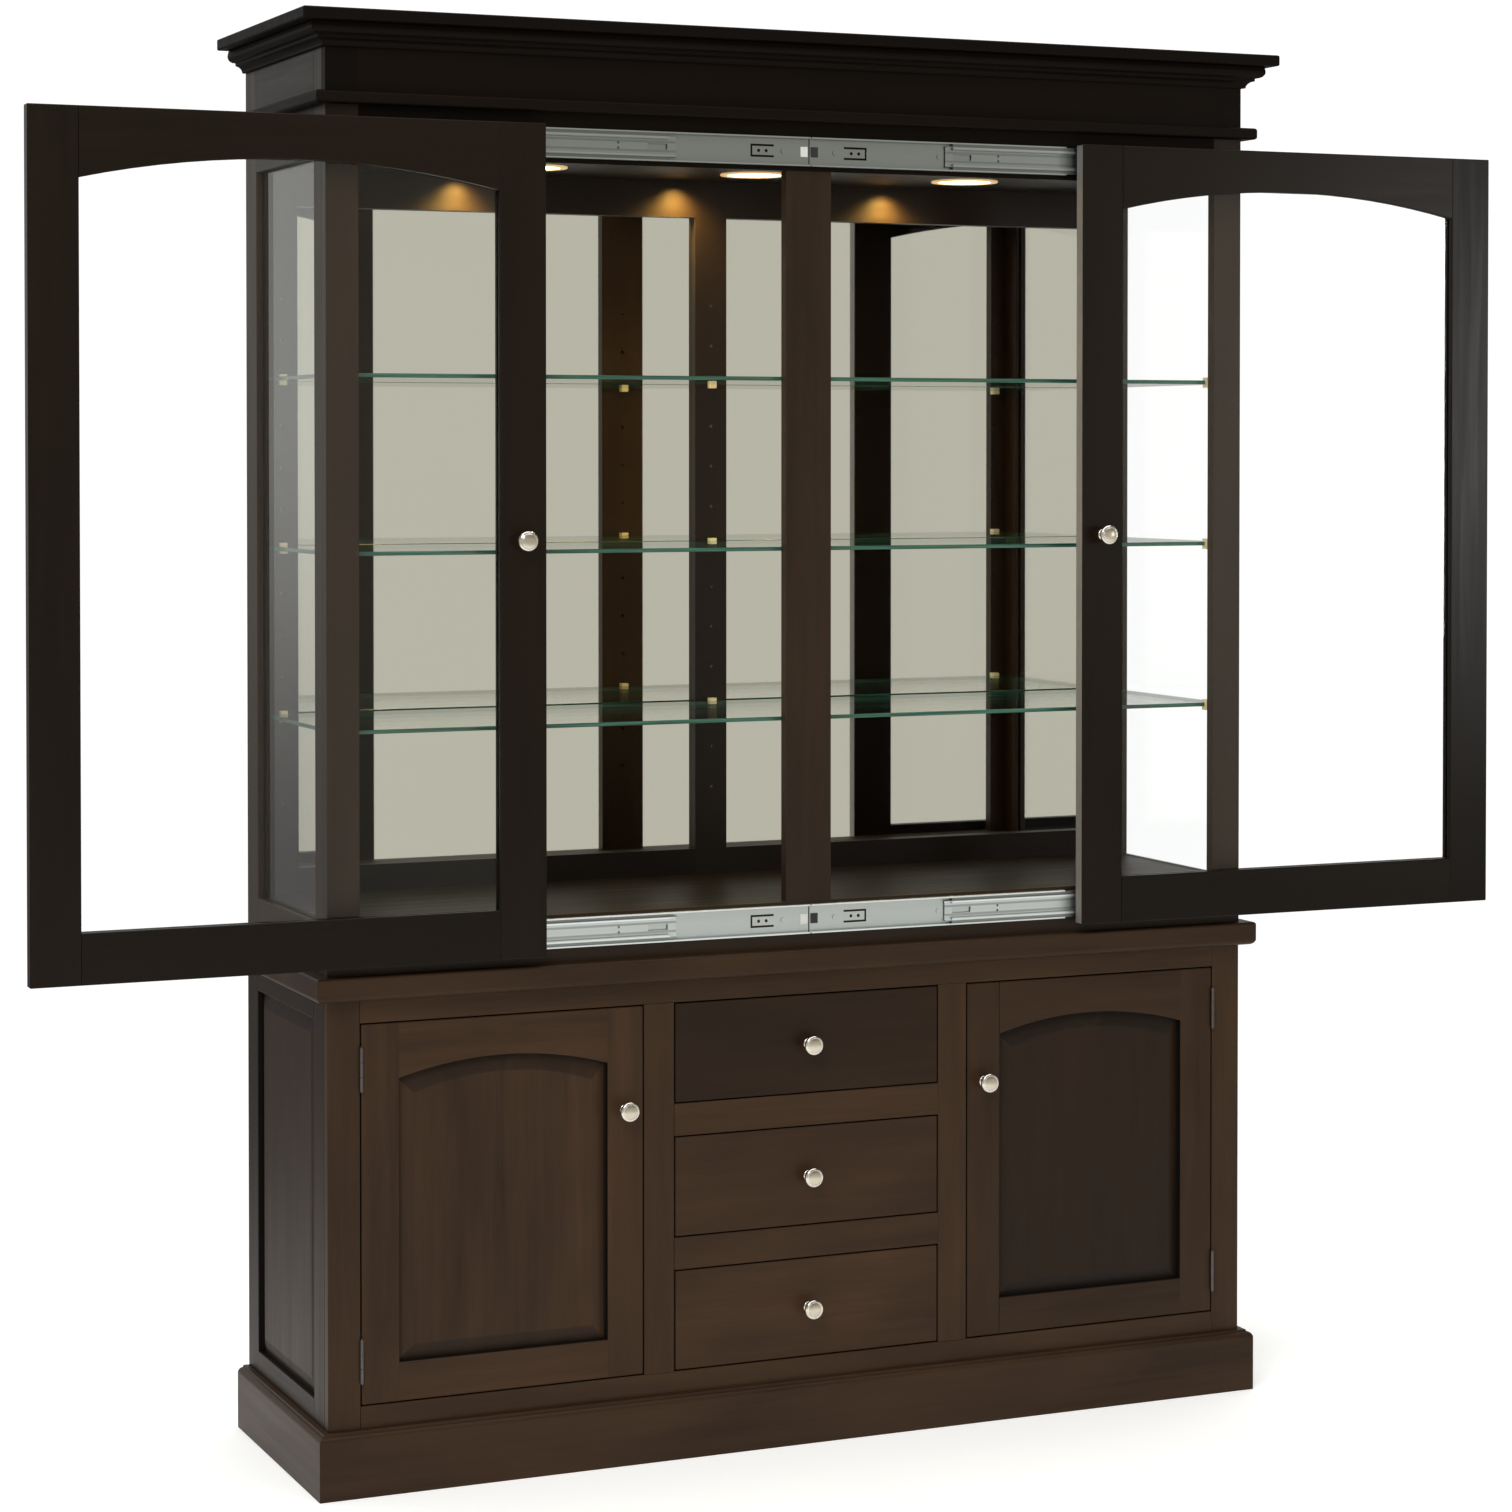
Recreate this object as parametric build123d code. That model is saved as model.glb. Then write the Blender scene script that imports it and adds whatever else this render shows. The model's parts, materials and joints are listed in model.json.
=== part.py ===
from build123d import *
import math
import os

os.makedirs("parts", exist_ok=True)

# China cabinet: a buffet base with doors and drawers under a hutch with two sliding glass doors.
#
# Millimetres, +Z up. X = 0 is the middle of the width, Y = 0 the middle of the body's depth, Z = 0
# the floor. The front faces -Y. The sliding doors stand open, the base doors and drawers are shut.

# Whole cabinet
total_height = 2235.0
body_width = 1587.0
body_depth = 440.0
frame_thickness = 19.0
stile_width = 51.0
side_thickness = 20.0
back_inset = 18.0
backing_thickness = 6.0
cut_over = 1.0

# Plinth
plinth_height = 100.0
plinth_thickness = 19.0
plinth_round = 9.0
plinth_step = 3.0

# Base
base_height = 749.0
base_top_rail = 35.0
opening_above_plinth = 34.0
base_bottom_rail = 104.0
side_front_stile = 54.0
side_back_stile = 57.0
bottom_thickness = 19.0
partition_thickness = 19.0
stretcher_thickness = 19.0
stretcher_width = 80.0
cleat_height = 40.0
base_shelf_rise = 291.0
base_shelf_thickness = 19.0
base_shelf_play = 1.5
base_shelf_setback = 22.0
base_shelf_back_gap = 4.0
countertop_thickness = 38.0
countertop_overhang = 21.5
countertop_round_top = 4.0
countertop_round_bottom = 10.0

# Raised panels in their frames
panel_tongue = 8.0
panel_groove = 9.0
panel_groove_depth = 10.5
panel_tongue_thickness = 5.5
panel_bevel = 25.0
panel_field_depth = 3.5
panel_quirk = 3.0

# Base doors
inset_gap = 2.0
base_door_stile = 59.0
base_door_bottom_rail = 59.0
base_door_top_rail = 60.0
base_door_arch = 25.0
base_knob_from_edge = 30.0
base_knob_below_top = 160.0

# Hinges of the base doors
hinge_height = 66.0
hinge_from_end = 34.0
hinge_leaf_gap = 0.4
hinge_leaf_depth = 16.0
knuckle_radius = 3.0
knuckle_play = 0.4
knuckle_face_play = 0.3
hinge_pin_radius = 1.5
hinge_pin_play = 0.3
hinge_pin_end = 2.0

# Catches of the base doors
catch_from_stile = 30.0
catch_width = 45.0
catch_depth = 15.5
catch_height = 30.0
catch_gap = 1.0
strike_thickness = 1.5
strike_height = 9.0
strike_margin = 3.0
strike_below_top = 1.0

# Drawers
drawer_count = 3
drawer_front_width = 457.0
drawer_rail = 51.0
drawer_side_thickness = 12.0
drawer_box_height = 110.0
drawer_back_gap = 17.0
drawer_floor_thickness = 6.0
drawer_floor_rise = 10.0
drawer_slide_setback = 2.0
drawer_slide_half_height = 17.5
drawer_member_half_height = 10.0
drawer_member_lip = 3.5
drawer_balls_from = 4.0
drawer_balls_to = 8.5

# Hutch
hutch_bottom_rail = 75.0
hutch_top_rail = 198.0
centre_stile_width = 78.0
deck_thickness = 19.0
ceiling_above_opening = 11.0
ceiling_thickness = 19.0
back_frame_thickness = 18.0
back_outer_stile = 53.0
back_centre_stile = 57.0
back_bottom_rail = 43.0
back_top_rail_drop = 50.0
back_frame_above_ceiling = 20.0
mirror_thickness = 4.0
mirror_rebate = 9.0
hutch_side_front_stile = 42.0
hutch_side_back_stile = 62.0
pane_thickness = 4.0
pane_rebate = 9.0
pane_lip = 10.0

# Crown: cap, moulding under it and the band above the sliding doors
cap_thickness = 18.0
cap_overhang = 47.0
cap_edge_round = 3.0
crown_height = 35.0
crown_foot = 6.0
crown_foot_edge = 2.0
crown_cove_width = 11.0
crown_cove_height = 9.0
crown_cove_radius = 11.7
crown_fillet = 5.0
crown_quirk = 4.0
crown_ovolo_width = 9.0
crown_ovolo_height = 11.0
crown_ovolo_radius = 10.2
crown_lean = 1.5
astragal_below_cap = 102.0
astragal_height = 19.0
astragal_stand_out = 20.0
astragal_round = 4.5

# Glass shelves and shelf pins
glass_shelf_thickness = 6.35
lowest_glass_shelf = 292.5
glass_shelf_count = 3
holes_per_shelf = 4
glass_shelf_front_gap = 6.0
glass_shelf_back_gap = 3.0
glass_shelf_play = 2.0
pin_hole_pitch = 67.5
pin_hole_radius = 2.5
pin_hole_depth = 9.0
pin_holes_below_shelves = 2
pin_holes_above_shelves = 2
pin_from_stile_edge = 4.5
shelf_clip_width = 12.0
shelf_clip_below = 6.0
shelf_clip_above = 5.0
shelf_clip_grip = 8.0
shelf_clip_play = 0.2
wood_pin_radius = 3.0
wood_pin_reach = 10.0
wood_pin_inset = 36.0

# Lights
light_from_front = 215.0
light_from_side = 407.5
light_ring_radius = 56.0
light_ring_thickness = 3.0
light_lens_radius = 44.0
light_lens_thickness = 2.0
light_lens_play = 0.3
light_can_height = 45.0
light_can_wall = 3.5
light_can_top = 1.5
light_hole_radius = 46.5
light_can_play = 0.5
driver_length = 140.0
driver_width = 50.0
driver_height = 28.0

# Plates that tie the hutch to the base
tie_plate_height = 120.0
tie_plate_thickness = 2.0
tie_plate_margin = 3.0

# Sliding doors
sliding_door_clearance = 15.0
sliding_door_overlap = 57.0
sliding_door_thickness = 22.0
sliding_door_stile = 75.0
sliding_door_bottom_rail = 76.0
sliding_door_top_rail = 68.0
sliding_door_arch = 36.0
sliding_door_half_gap = 1.0
sliding_knob_rise = 638.0
left_open = 454.0
right_open = 474.0

# Slides of the sliding doors: depths are measured from the face that the slide is fixed to
slide_depth = 12.7
slide_length = 457.0
slide_end_gap = 1.0
slide_from_bottom = 32.0
slide_from_top = 26.5
sheet = 1.2
slide_play = 0.4
slide_half_height = 23.0
slide_lip = 9.5
middle_half_height = 16.6
middle_web = 2.9
middle_lip = 10.5
middle_end_gap = 1.5
outer_balls_to = 7.9
inner_balls_from = 6.4
inner_balls_to = 9.8
ball_row_end = 12.0
inner_half_height = 11.0
inner_lip = 5.4
inner_end_gap = 1.0
tab_from_end = 60.0
tab_length = 40.0
tab_half_height = 10.2
tab_slot = 3.2
tab_hole_radius = 2.6
tab_hole_from_end = 14.0
tab_hole_pitch = 13.0
stop_from_end = 2.0
stop_size = 12.0
stop_height = 16.0
stop_rise = 1.4
screw_from_end = 44.0
screw_head_radius = 4.0
screw_head_height = 1.2
middle_slot_from_end = 14.0
middle_slot_length = 33.0
middle_slot_height = 9.0
middle_hole_from_end = 96.0
middle_hole_rise = 4.0
middle_hole_radius = 1.8

# Knobs
knob_radius = 16.0
knob_reach = 28.0
knob_flange_radius = 9.5
knob_flange_thickness = 2.0
knob_neck_radius = 5.5
knob_rim_inset = 1.5
knob_rim_height = 4.8
knob_dome_rise = 6.2

# Places that follow from the sizes above
half_width = body_width / 2
front = -body_depth / 2
back = body_depth / 2
frame_back = front + frame_thickness
backing_front = back - back_inset - backing_thickness
back_frame_front = backing_front - back_frame_thickness
inner_wall = half_width - side_thickness
base_opening_bottom = plinth_height + opening_above_plinth
base_opening_top = base_height - base_top_rail
countertop_top = base_height + countertop_thickness
drawer_half_opening = drawer_front_width / 2 + inset_gap
door_opening_inner = drawer_half_opening + stile_width
door_opening_outer = half_width - stile_width
hinge_leaf_thickness = (inset_gap - hinge_leaf_gap) / 2
drawer_pitch = (base_opening_top - base_opening_bottom + drawer_rail) / drawer_count
drawer_front_height = drawer_pitch - drawer_rail - 2 * inset_gap
drawer_box_depth = backing_front - frame_back - drawer_back_gap
cap_bottom = total_height - cap_thickness
hutch_opening_bottom = countertop_top + hutch_bottom_rail
hutch_opening_top = cap_bottom - hutch_top_rail
ceiling_underside = hutch_opening_top + ceiling_above_opening
back_rail_top = hutch_opening_bottom + back_bottom_rail
back_rail_bottom = hutch_opening_top - back_top_rail_drop
glass_shelf_spacing = holes_per_shelf * pin_hole_pitch
glass_shelf_bottoms = [
    hutch_opening_bottom + lowest_glass_shelf - glass_shelf_thickness + index * glass_shelf_spacing
    for index in range(glass_shelf_count)
]
sliding_door_bottom = countertop_top + sliding_door_clearance
sliding_door_top = hutch_opening_top + sliding_door_overlap
door_face = front - slide_depth - sliding_door_thickness
door_back = front - slide_depth
slide_heights = (sliding_door_bottom + slide_from_bottom, sliding_door_top - slide_from_top)


def board(x0, x1, y0, y1, z0, z1):
    """A straight board between two corners."""
    middle = ((x0 + x1) / 2, (y0 + y1) / 2, (z0 + z1) / 2)
    return Pos(*middle) * Box(x1 - x0, y1 - y0, z1 - z0)


def disc(x, y, z0, radius, height):
    """An upright round plate on the height z0."""
    return Pos(x, y, z0 + height / 2) * Cylinder(radius, height)


def rod(centre, direction, radius, length):
    """A round bar from centre, running length along direction."""
    plane = Plane(origin=centre, z_dir=direction)
    return extrude(plane * Circle(radius), amount=length)


def mirrored(pieces):
    """The same pieces on the other side of the middle of the width."""
    return [mirror(piece, about=Plane.YZ) for piece in pieces]


def both_sides(pieces):
    return pieces + mirrored(pieces)


def moved(pieces, x):
    return [Pos(x, 0, 0) * piece for piece in pieces]


def save(name, pieces):
    """Write one node. Every piece stays a solid of its own."""
    solids = []
    for piece in pieces:
        solids.extend(piece.solids())
    export_step(Compound(children=solids), f"parts/{name}.step")


def arch_outline(x0, x1, z0, z_side, z_middle):
    """Outline with straight sides and, where the middle is higher, an arched top."""
    outline = Line((x0, z0), (x1, z0)) + Line((x1, z0), (x1, z_side))
    if z_middle > z_side:
        outline += ThreePointArc((x1, z_side), ((x0 + x1) / 2, z_middle), (x0, z_side))
    else:
        outline += Line((x1, z_side), (x0, z_side))
    outline += Line((x0, z_side), (x0, z0))
    return make_face(outline)


def arch_prism(x0, x1, z0, z_side, z_middle, y0, y1):
    """A slab of that outline between two depths."""
    face = Plane.XZ.offset(-y1) * arch_outline(x0, x1, z0, z_side, z_middle)
    return extrude(face, amount=y1 - y0, dir=(0, -1, 0))


def raised_panel(x0, x1, z0, z_side, z_middle, y_front):
    """A panel in its frame's groove, with a bevel up to its raised field. It faces -Y."""
    y_bevel = y_front + panel_groove_depth
    tongue = arch_prism(x0 - panel_tongue, x1 + panel_tongue, z0 - panel_tongue, z_side + panel_tongue,
                        z_middle + panel_tongue, y_bevel, y_bevel + panel_tongue_thickness)
    foot = arch_outline(x0 + panel_quirk, x1 - panel_quirk, z0 + panel_quirk, z_side - panel_quirk,
                        z_middle - panel_quirk)
    field = arch_outline(x0 + panel_bevel, x1 - panel_bevel, z0 + panel_bevel, z_side - panel_bevel,
                         z_middle - panel_bevel)
    low = Plane.XZ.offset(-y_bevel) * foot
    high = Plane.XZ.offset(-(y_front + panel_field_depth)) * field
    return tongue + loft([low, high], ruled=True)


def panel_groove_cut(x0, x1, z0, z_side, z_middle, y_front):
    """The space a panel's groove takes out of its frame."""
    y_bevel = y_front + panel_groove_depth
    return arch_prism(x0 - panel_groove, x1 + panel_groove, z0 - panel_groove, z_side + panel_groove,
                      z_middle + panel_groove, y_bevel, y_bevel + panel_tongue_thickness)


def plan_prism(points):
    """An upright prism over a plan outline, as high as the cabinet."""
    return extrude(make_face(Polyline(*points, close=True)), amount=total_height)


def moulding(profile, reach):
    """Front run and two returns of a moulding, mitred at the corners.

    profile is a face in the XY plane: x is the distance out from the body, y the height.
    """
    corner = half_width + reach
    front_plane = Plane(origin=(corner, front, 0), x_dir=(0, -1, 0), z_dir=(-1, 0, 0))
    run = extrude(front_plane * profile, amount=2 * corner)
    front_plan = [(-corner, front - reach), (corner, front - reach), (half_width, front),
                  (-half_width, front)]
    side_plane = Plane(origin=(-half_width, front - reach, 0), x_dir=(-1, 0, 0), z_dir=(0, 1, 0))
    side = extrude(side_plane * profile, amount=back - front + reach)
    side_plan = [(-corner, front - reach), (-half_width, front), (-half_width, back), (-corner, back)]
    return [run & plan_prism(front_plan)] + both_sides([side & plan_prism(side_plan)])


def knob(x, y, z):
    """A turned mushroom knob on a face at y, standing towards -Y."""
    edge_height = knob_reach - knob_dome_rise
    cap_underside = edge_height - knob_rim_height
    edge = knob_radius - knob_rim_inset
    neck_middle = (knob_flange_thickness + cap_underside) / 2
    rim_middle = (cap_underside + edge_height) / 2
    dome_radius = (edge**2 + knob_dome_rise**2) / (2 * knob_dome_rise)
    sweep = math.degrees(math.asin(edge / dome_radius))
    outline = Polyline((0, 0), (knob_flange_radius, 0), (knob_flange_radius, knob_flange_thickness))
    outline += ThreePointArc((knob_flange_radius, knob_flange_thickness), (knob_neck_radius, neck_middle),
                             (edge, cap_underside))
    outline += ThreePointArc((edge, cap_underside), (knob_radius, rim_middle), (edge, edge_height))
    outline += CenterArc((0, knob_reach - dome_radius), dome_radius, 90 - sweep, sweep)
    outline += Line((0, knob_reach), (0, 0))
    turned = revolve(make_face(outline), axis=Axis.Y)
    return [Pos(x, y, z) * Rot(0, 0, 180) * turned]


# ---------------------------------------------------------------------------------------- base


def plinth():
    """Boards round the foot with a moulded top edge, and a support under the middle."""
    edge = plinth_thickness
    round_start = plinth_height - plinth_step - plinth_round
    outline = Polyline((0, 0), (edge, 0), (edge, round_start))
    outline += JernArc(start=(edge, round_start), tangent=(0, 1), radius=plinth_round, arc_size=90)
    outline += Polyline((edge - plinth_round, plinth_height - plinth_step),
                        (edge - plinth_round, plinth_height), (0, plinth_height), (0, 0))
    support = board(-frame_thickness / 2, frame_thickness / 2, frame_back, backing_front - frame_thickness,
                    0, base_opening_bottom - bottom_thickness)
    return moulding(make_face(outline), edge) + [support]


def base_face_frame():
    y0 = front
    y1 = frame_back
    z0 = base_opening_bottom
    z1 = base_opening_top
    outer_edge = door_opening_outer
    outer_stile = board(outer_edge, half_width, y0, y1, 0, base_height)
    inner_stile = board(drawer_half_opening, door_opening_inner, y0, y1, z0, z1)
    top_rail = board(-outer_edge, outer_edge, y0, y1, z1, base_height)
    bottom_rail = board(-outer_edge, outer_edge, y0, y1, z0 - base_bottom_rail, z0)
    rails = []
    for index in range(1, drawer_count):
        rail_top = z0 + index * drawer_pitch
        rails.append(board(-drawer_half_opening, drawer_half_opening, y0, y1, rail_top - drawer_rail,
                           rail_top))
    return both_sides([outer_stile, inner_stile]) + [top_rail, bottom_rail] + rails


def side_panel_opening():
    """Opening of a side frame, along local X (towards the front) and Z."""
    x0 = -back + side_back_stile
    x1 = -frame_back - side_front_stile
    return x0, x1, base_opening_bottom, base_opening_top


def turned_to_side(piece):
    """Turn a piece that faces -Y at y = -half_width to face -X at the left side."""
    return Rot(0, 0, -90) * piece


def tie_plates():
    """Plates across the joint of base and hutch, let in flush with the back edges of the sides."""
    z = (base_height + countertop_top) / 2
    half_height = tie_plate_height / 2
    plate = board(inner_wall + tie_plate_margin, half_width - tie_plate_margin, back - tie_plate_thickness,
                  back, z - half_height, z + half_height)
    return both_sides([plate])


def less_tie_plates(piece):
    """The piece with the recesses that the tie plates lie in."""
    for plate in tie_plates():
        piece = piece - plate
    return piece


def base_side_frame():
    """Left side: two stiles and two rails with their groove, facing -X."""
    x0, x1, z0, z1 = side_panel_opening()
    y0 = -half_width
    y1 = y0 + side_thickness
    boards = [
        board(-back, x0, y0, y1, 0, base_height),
        board(x1, -frame_back, y0, y1, 0, base_height),
        board(x0, x1, y0, y1, 0, z0),
        board(x0, x1, y0, y1, z1, base_height),
    ]
    groove = panel_groove_cut(x0, x1, z0, z1, z1, y0)
    return [less_tie_plates(turned_to_side(piece - groove)) for piece in boards]


def base_side_panel():
    x0, x1, z0, z1 = side_panel_opening()
    return [turned_to_side(raised_panel(x0, x1, z0, z1, z1, -half_width))]


def base_carcass():
    """Bottom board, two partitions, the stretchers under the countertop and a cleat at the back."""
    x1 = inner_wall
    z1 = base_opening_bottom
    stretcher_bottom = base_height - stretcher_thickness
    bottom = board(-x1, x1, frame_back, backing_front, z1 - bottom_thickness, z1)
    front_stretcher = board(-x1, x1, frame_back, frame_back + stretcher_width, stretcher_bottom,
                            base_height)
    back_stretcher = board(-x1, x1, backing_front - stretcher_width, backing_front, stretcher_bottom,
                           base_height)
    back_cleat = board(-x1, x1, backing_front - frame_thickness, backing_front, 0, cleat_height)
    partition = board(drawer_half_opening, drawer_half_opening + partition_thickness, frame_back,
                      backing_front, z1, stretcher_bottom)
    return [bottom, front_stretcher, back_stretcher, back_cleat] + both_sides([partition])


def back_panels():
    """Thin backs of the base and of the hutch, let in between the sides."""
    y1 = backing_front + backing_thickness
    base = board(-inner_wall, inner_wall, backing_front, y1, 0, base_height)
    hutch = board(-inner_wall, inner_wall, backing_front, y1, countertop_top, cap_bottom)
    return [base, hutch]


def base_shelves():
    """A shelf behind each base door."""
    x0 = drawer_half_opening + partition_thickness + base_shelf_play
    x1 = inner_wall - base_shelf_play
    z1 = base_opening_bottom + base_shelf_rise
    shelf = board(x0, x1, frame_back + base_shelf_setback, backing_front - base_shelf_back_gap,
                  z1 - base_shelf_thickness, z1)
    return both_sides([shelf])


def edges_at(solid, height):
    """The front and side edges of a slab at one height."""
    edges = solid.edges().filter_by_position(Axis.Z, height, height)
    return edges.sort_by(Axis.Y)[:-1]


def countertop():
    corner = half_width + countertop_overhang
    slab = board(-corner, corner, front - countertop_overhang, back, base_height, countertop_top)
    slab = fillet(edges_at(slab, countertop_top), countertop_round_top)
    slab = fillet(edges_at(slab, base_height), countertop_round_bottom)
    return [less_tie_plates(slab)]


def hinge_axis():
    """The axis of the right base door's hinges."""
    return door_opening_outer - inset_gap / 2, front - knuckle_radius - knuckle_face_play


def hinge_bottoms():
    low = base_opening_bottom + inset_gap + hinge_from_end
    high = base_opening_top - inset_gap - hinge_from_end - hinge_height
    return low, high


def knuckle_rod(z0, length, radius):
    """A round piece on the axis of the right hinges."""
    x, y = hinge_axis()
    return rod((x, y, z0), (0, 0, 1), radius, length)


def hinge_fixed_half(z):
    """Leaf on the stile with the outer knuckles and the pin."""
    knuckle = hinge_height / 3
    room_radius = knuckle_radius + hinge_pin_play
    leaf = board(door_opening_outer - hinge_leaf_thickness, door_opening_outer, hinge_axis()[1],
                 front + hinge_leaf_depth, z, z + hinge_height)
    leaf = leaf - knuckle_rod(z + knuckle, knuckle, room_radius)
    lower = knuckle_rod(z, knuckle - knuckle_play, knuckle_radius)
    upper = knuckle_rod(z + 2 * knuckle + knuckle_play, knuckle - knuckle_play, knuckle_radius)
    pin = knuckle_rod(z - hinge_pin_end, hinge_height + 2 * hinge_pin_end, hinge_pin_radius)
    return leaf + lower + upper + pin


def hinge_moving_half(z):
    """Leaf on the door with the middle knuckle."""
    knuckle = hinge_height / 3
    room_radius = knuckle_radius + hinge_pin_play
    door_edge = door_opening_outer - inset_gap
    leaf = board(door_edge, door_edge + hinge_leaf_thickness, hinge_axis()[1], front + hinge_leaf_depth,
                 z, z + hinge_height)
    for room_bottom in (z, z + 2 * knuckle):
        leaf = leaf - knuckle_rod(room_bottom - knuckle_play / 2, knuckle + knuckle_play, room_radius)
    middle = knuckle_rod(z + knuckle + knuckle_play / 2, knuckle - knuckle_play, knuckle_radius)
    hole = knuckle_rod(z - cut_over, hinge_height + 2 * cut_over, hinge_pin_radius + hinge_pin_play)
    return (leaf + middle) - hole


def catch_span():
    x0 = door_opening_inner + catch_from_stile
    return x0, x0 + catch_width


def strike_plate():
    """Steel plate on the back of the right base door, facing its catch."""
    x0, x1 = catch_span()
    z1 = base_opening_top - inset_gap - strike_below_top
    return board(x0 + strike_margin, x1 - strike_margin, frame_back, frame_back + strike_thickness,
                 z1 - strike_height, z1)


def door_catches():
    """Magnetic catches under the front stretcher, near the free edges of the base doors."""
    x0, x1 = catch_span()
    y0 = frame_back + strike_thickness + catch_gap
    z1 = base_height - stretcher_thickness
    return both_sides([board(x0, x1, y0, y0 + catch_depth, z1 - catch_height, z1)])


def base_door_opening():
    """The right base door's panel opening: x0, x1, bottom, corners and apex of the arch."""
    x0 = door_opening_inner + inset_gap + base_door_stile
    x1 = door_opening_outer - inset_gap - base_door_stile
    z0 = base_opening_bottom + inset_gap + base_door_bottom_rail
    z_middle = base_opening_top - inset_gap - base_door_top_rail
    return x0, x1, z0, z_middle - base_door_arch, z_middle


def base_door_frame():
    """The right base door's stiles and rails, as thick as the face frame."""
    x0, x1, z0, z_side, z_middle = base_door_opening()
    bottom = base_opening_bottom + inset_gap
    top = base_opening_top - inset_gap
    arch = arch_prism(x0, x1, z0, z_side, z_middle, front - cut_over, frame_back + cut_over)
    boards = [
        board(x0 - base_door_stile, x0, front, frame_back, bottom, top),
        board(x1, x1 + base_door_stile, front, frame_back, bottom, top),
        board(x0, x1, front, frame_back, z_side - cut_over, top) - arch,
        board(x0, x1, front, frame_back, bottom, z0),
    ]
    groove = panel_groove_cut(x0, x1, z0, z_side, z_middle, front)
    return [piece - groove for piece in boards]


def base_door_panel():
    return [raised_panel(*base_door_opening(), front)]


def base_door_knob():
    x = door_opening_inner + inset_gap + base_knob_from_edge
    return knob(x, front, base_opening_top - inset_gap - base_knob_below_top)


# --------------------------------------------------------------------------------------- drawers


def drawer_middle(index):
    """Height of the middle of one drawer front, counted from the bottom."""
    return base_opening_bottom + inset_gap + index * drawer_pitch + drawer_front_height / 2


def drawer_front(index):
    half_height = drawer_front_height / 2
    z = drawer_middle(index)
    x1 = drawer_front_width / 2
    return [board(-x1, x1, front, frame_back, z - half_height, z + half_height)]


def drawer_box(index):
    """Sides, ends and floor behind a drawer's front."""
    z0 = drawer_middle(index) - drawer_box_height / 2
    z1 = z0 + drawer_box_height
    x1 = drawer_half_opening - slide_depth
    x0 = x1 - drawer_side_thickness
    y0 = frame_back
    y1 = y0 + drawer_box_depth
    inner_y0 = y0 + drawer_side_thickness
    inner_y1 = y1 - drawer_side_thickness
    floor_z0 = z0 + drawer_floor_rise
    side = board(x0, x1, y0, y1, z0, z1)
    front_end = board(-x0, x0, y0, inner_y0, z0, z1)
    back_end = board(-x0, x0, inner_y1, y1, z0, z1)
    floor = board(-x0, x0, inner_y0, inner_y1, floor_z0, floor_z0 + drawer_floor_thickness)
    return both_sides([side]) + [front_end, back_end, floor]


def section_bar(depth0, depth1, height0, height1):
    """A rectangle of a slide's section: x is the depth, y the height from the middle."""
    middle = Pos((depth0 + depth1) / 2, (height0 + height1) / 2)
    return middle * Rectangle(depth1 - depth0, height1 - height0)


def section_pair(depth0, depth1, height0, height1):
    """The same bar above and below the middle."""
    return section_bar(depth0, depth1, height0, height1) + section_bar(depth0, depth1, -height1, -height0)


def channel_section(web, lip, half_height):
    """A channel with its web at one depth and flanges that reach the depth lip."""
    near = min(web, lip)
    far = max(web + sheet, lip)
    flanges = section_pair(near, far, half_height - sheet, half_height)
    return section_bar(web, web + sheet, -half_height, half_height) + flanges


def drawer_slide_run(section, index):
    """A slide member of that section along the right wall of a drawer opening."""
    origin = (drawer_half_opening, frame_back + drawer_slide_setback, drawer_middle(index))
    plane = Plane(origin=origin, x_dir=(-1, 0, 0), z_dir=(0, 1, 0))
    return extrude(plane * section, amount=drawer_box_depth)


def drawer_slide_fixed(index):
    section = channel_section(0, slide_lip, drawer_slide_half_height)
    balls = section_pair(drawer_balls_from, drawer_balls_to, drawer_member_half_height + slide_play,
                         drawer_slide_half_height - sheet)
    return both_sides([drawer_slide_run(section + balls, index)])


def drawer_slide_moving(index):
    section = channel_section(slide_depth - sheet, drawer_member_lip, drawer_member_half_height)
    return both_sides([drawer_slide_run(section, index)])


# ----------------------------------------------------------------------------------------- hutch


def pin_hole_heights():
    """Heights of the pin holes: each glass shelf lies on pins in one of the rows."""
    first = glass_shelf_bottoms[0] - pin_hole_radius - pin_holes_below_shelves * pin_hole_pitch
    count_between = holes_per_shelf * (glass_shelf_count - 1) + 1
    count = pin_holes_below_shelves + count_between + pin_holes_above_shelves
    return [first + step * pin_hole_pitch for step in range(count)]


def front_pin_columns():
    x = door_opening_outer + pin_from_stile_edge
    return -x, 0.0, x


def back_pin_columns():
    x = inner_wall - back_outer_stile / 2
    return -x, 0.0, x


def with_pin_holes(piece, columns, y, direction):
    """Drill the rows of pin holes that meet a stile, into its face at depth y."""
    box = piece.bounding_box()
    for x in columns:
        if box.min.X < x < box.max.X:
            for z in pin_hole_heights():
                piece = piece - rod((x, y, z), (0, direction, 0), pin_hole_radius, pin_hole_depth)
    return piece


def hutch_face_frame():
    y0 = front
    y1 = frame_back
    z0 = hutch_opening_bottom
    z1 = hutch_opening_top
    half_centre = centre_stile_width / 2
    outer_edge = door_opening_outer
    stiles = both_sides([board(outer_edge, half_width, y0, y1, countertop_top, cap_bottom)])
    stiles.append(board(-half_centre, half_centre, y0, y1, z0, z1))
    rails = [
        board(-outer_edge, outer_edge, y0, y1, countertop_top, z0),
        board(-outer_edge, outer_edge, y0, y1, z1, cap_bottom),
    ]
    return [with_pin_holes(piece, front_pin_columns(), y1, -1) for piece in stiles] + rails


def side_glass_span():
    """Depths between which a hutch side is open."""
    return frame_back + hutch_side_front_stile, back - hutch_side_back_stile


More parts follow.
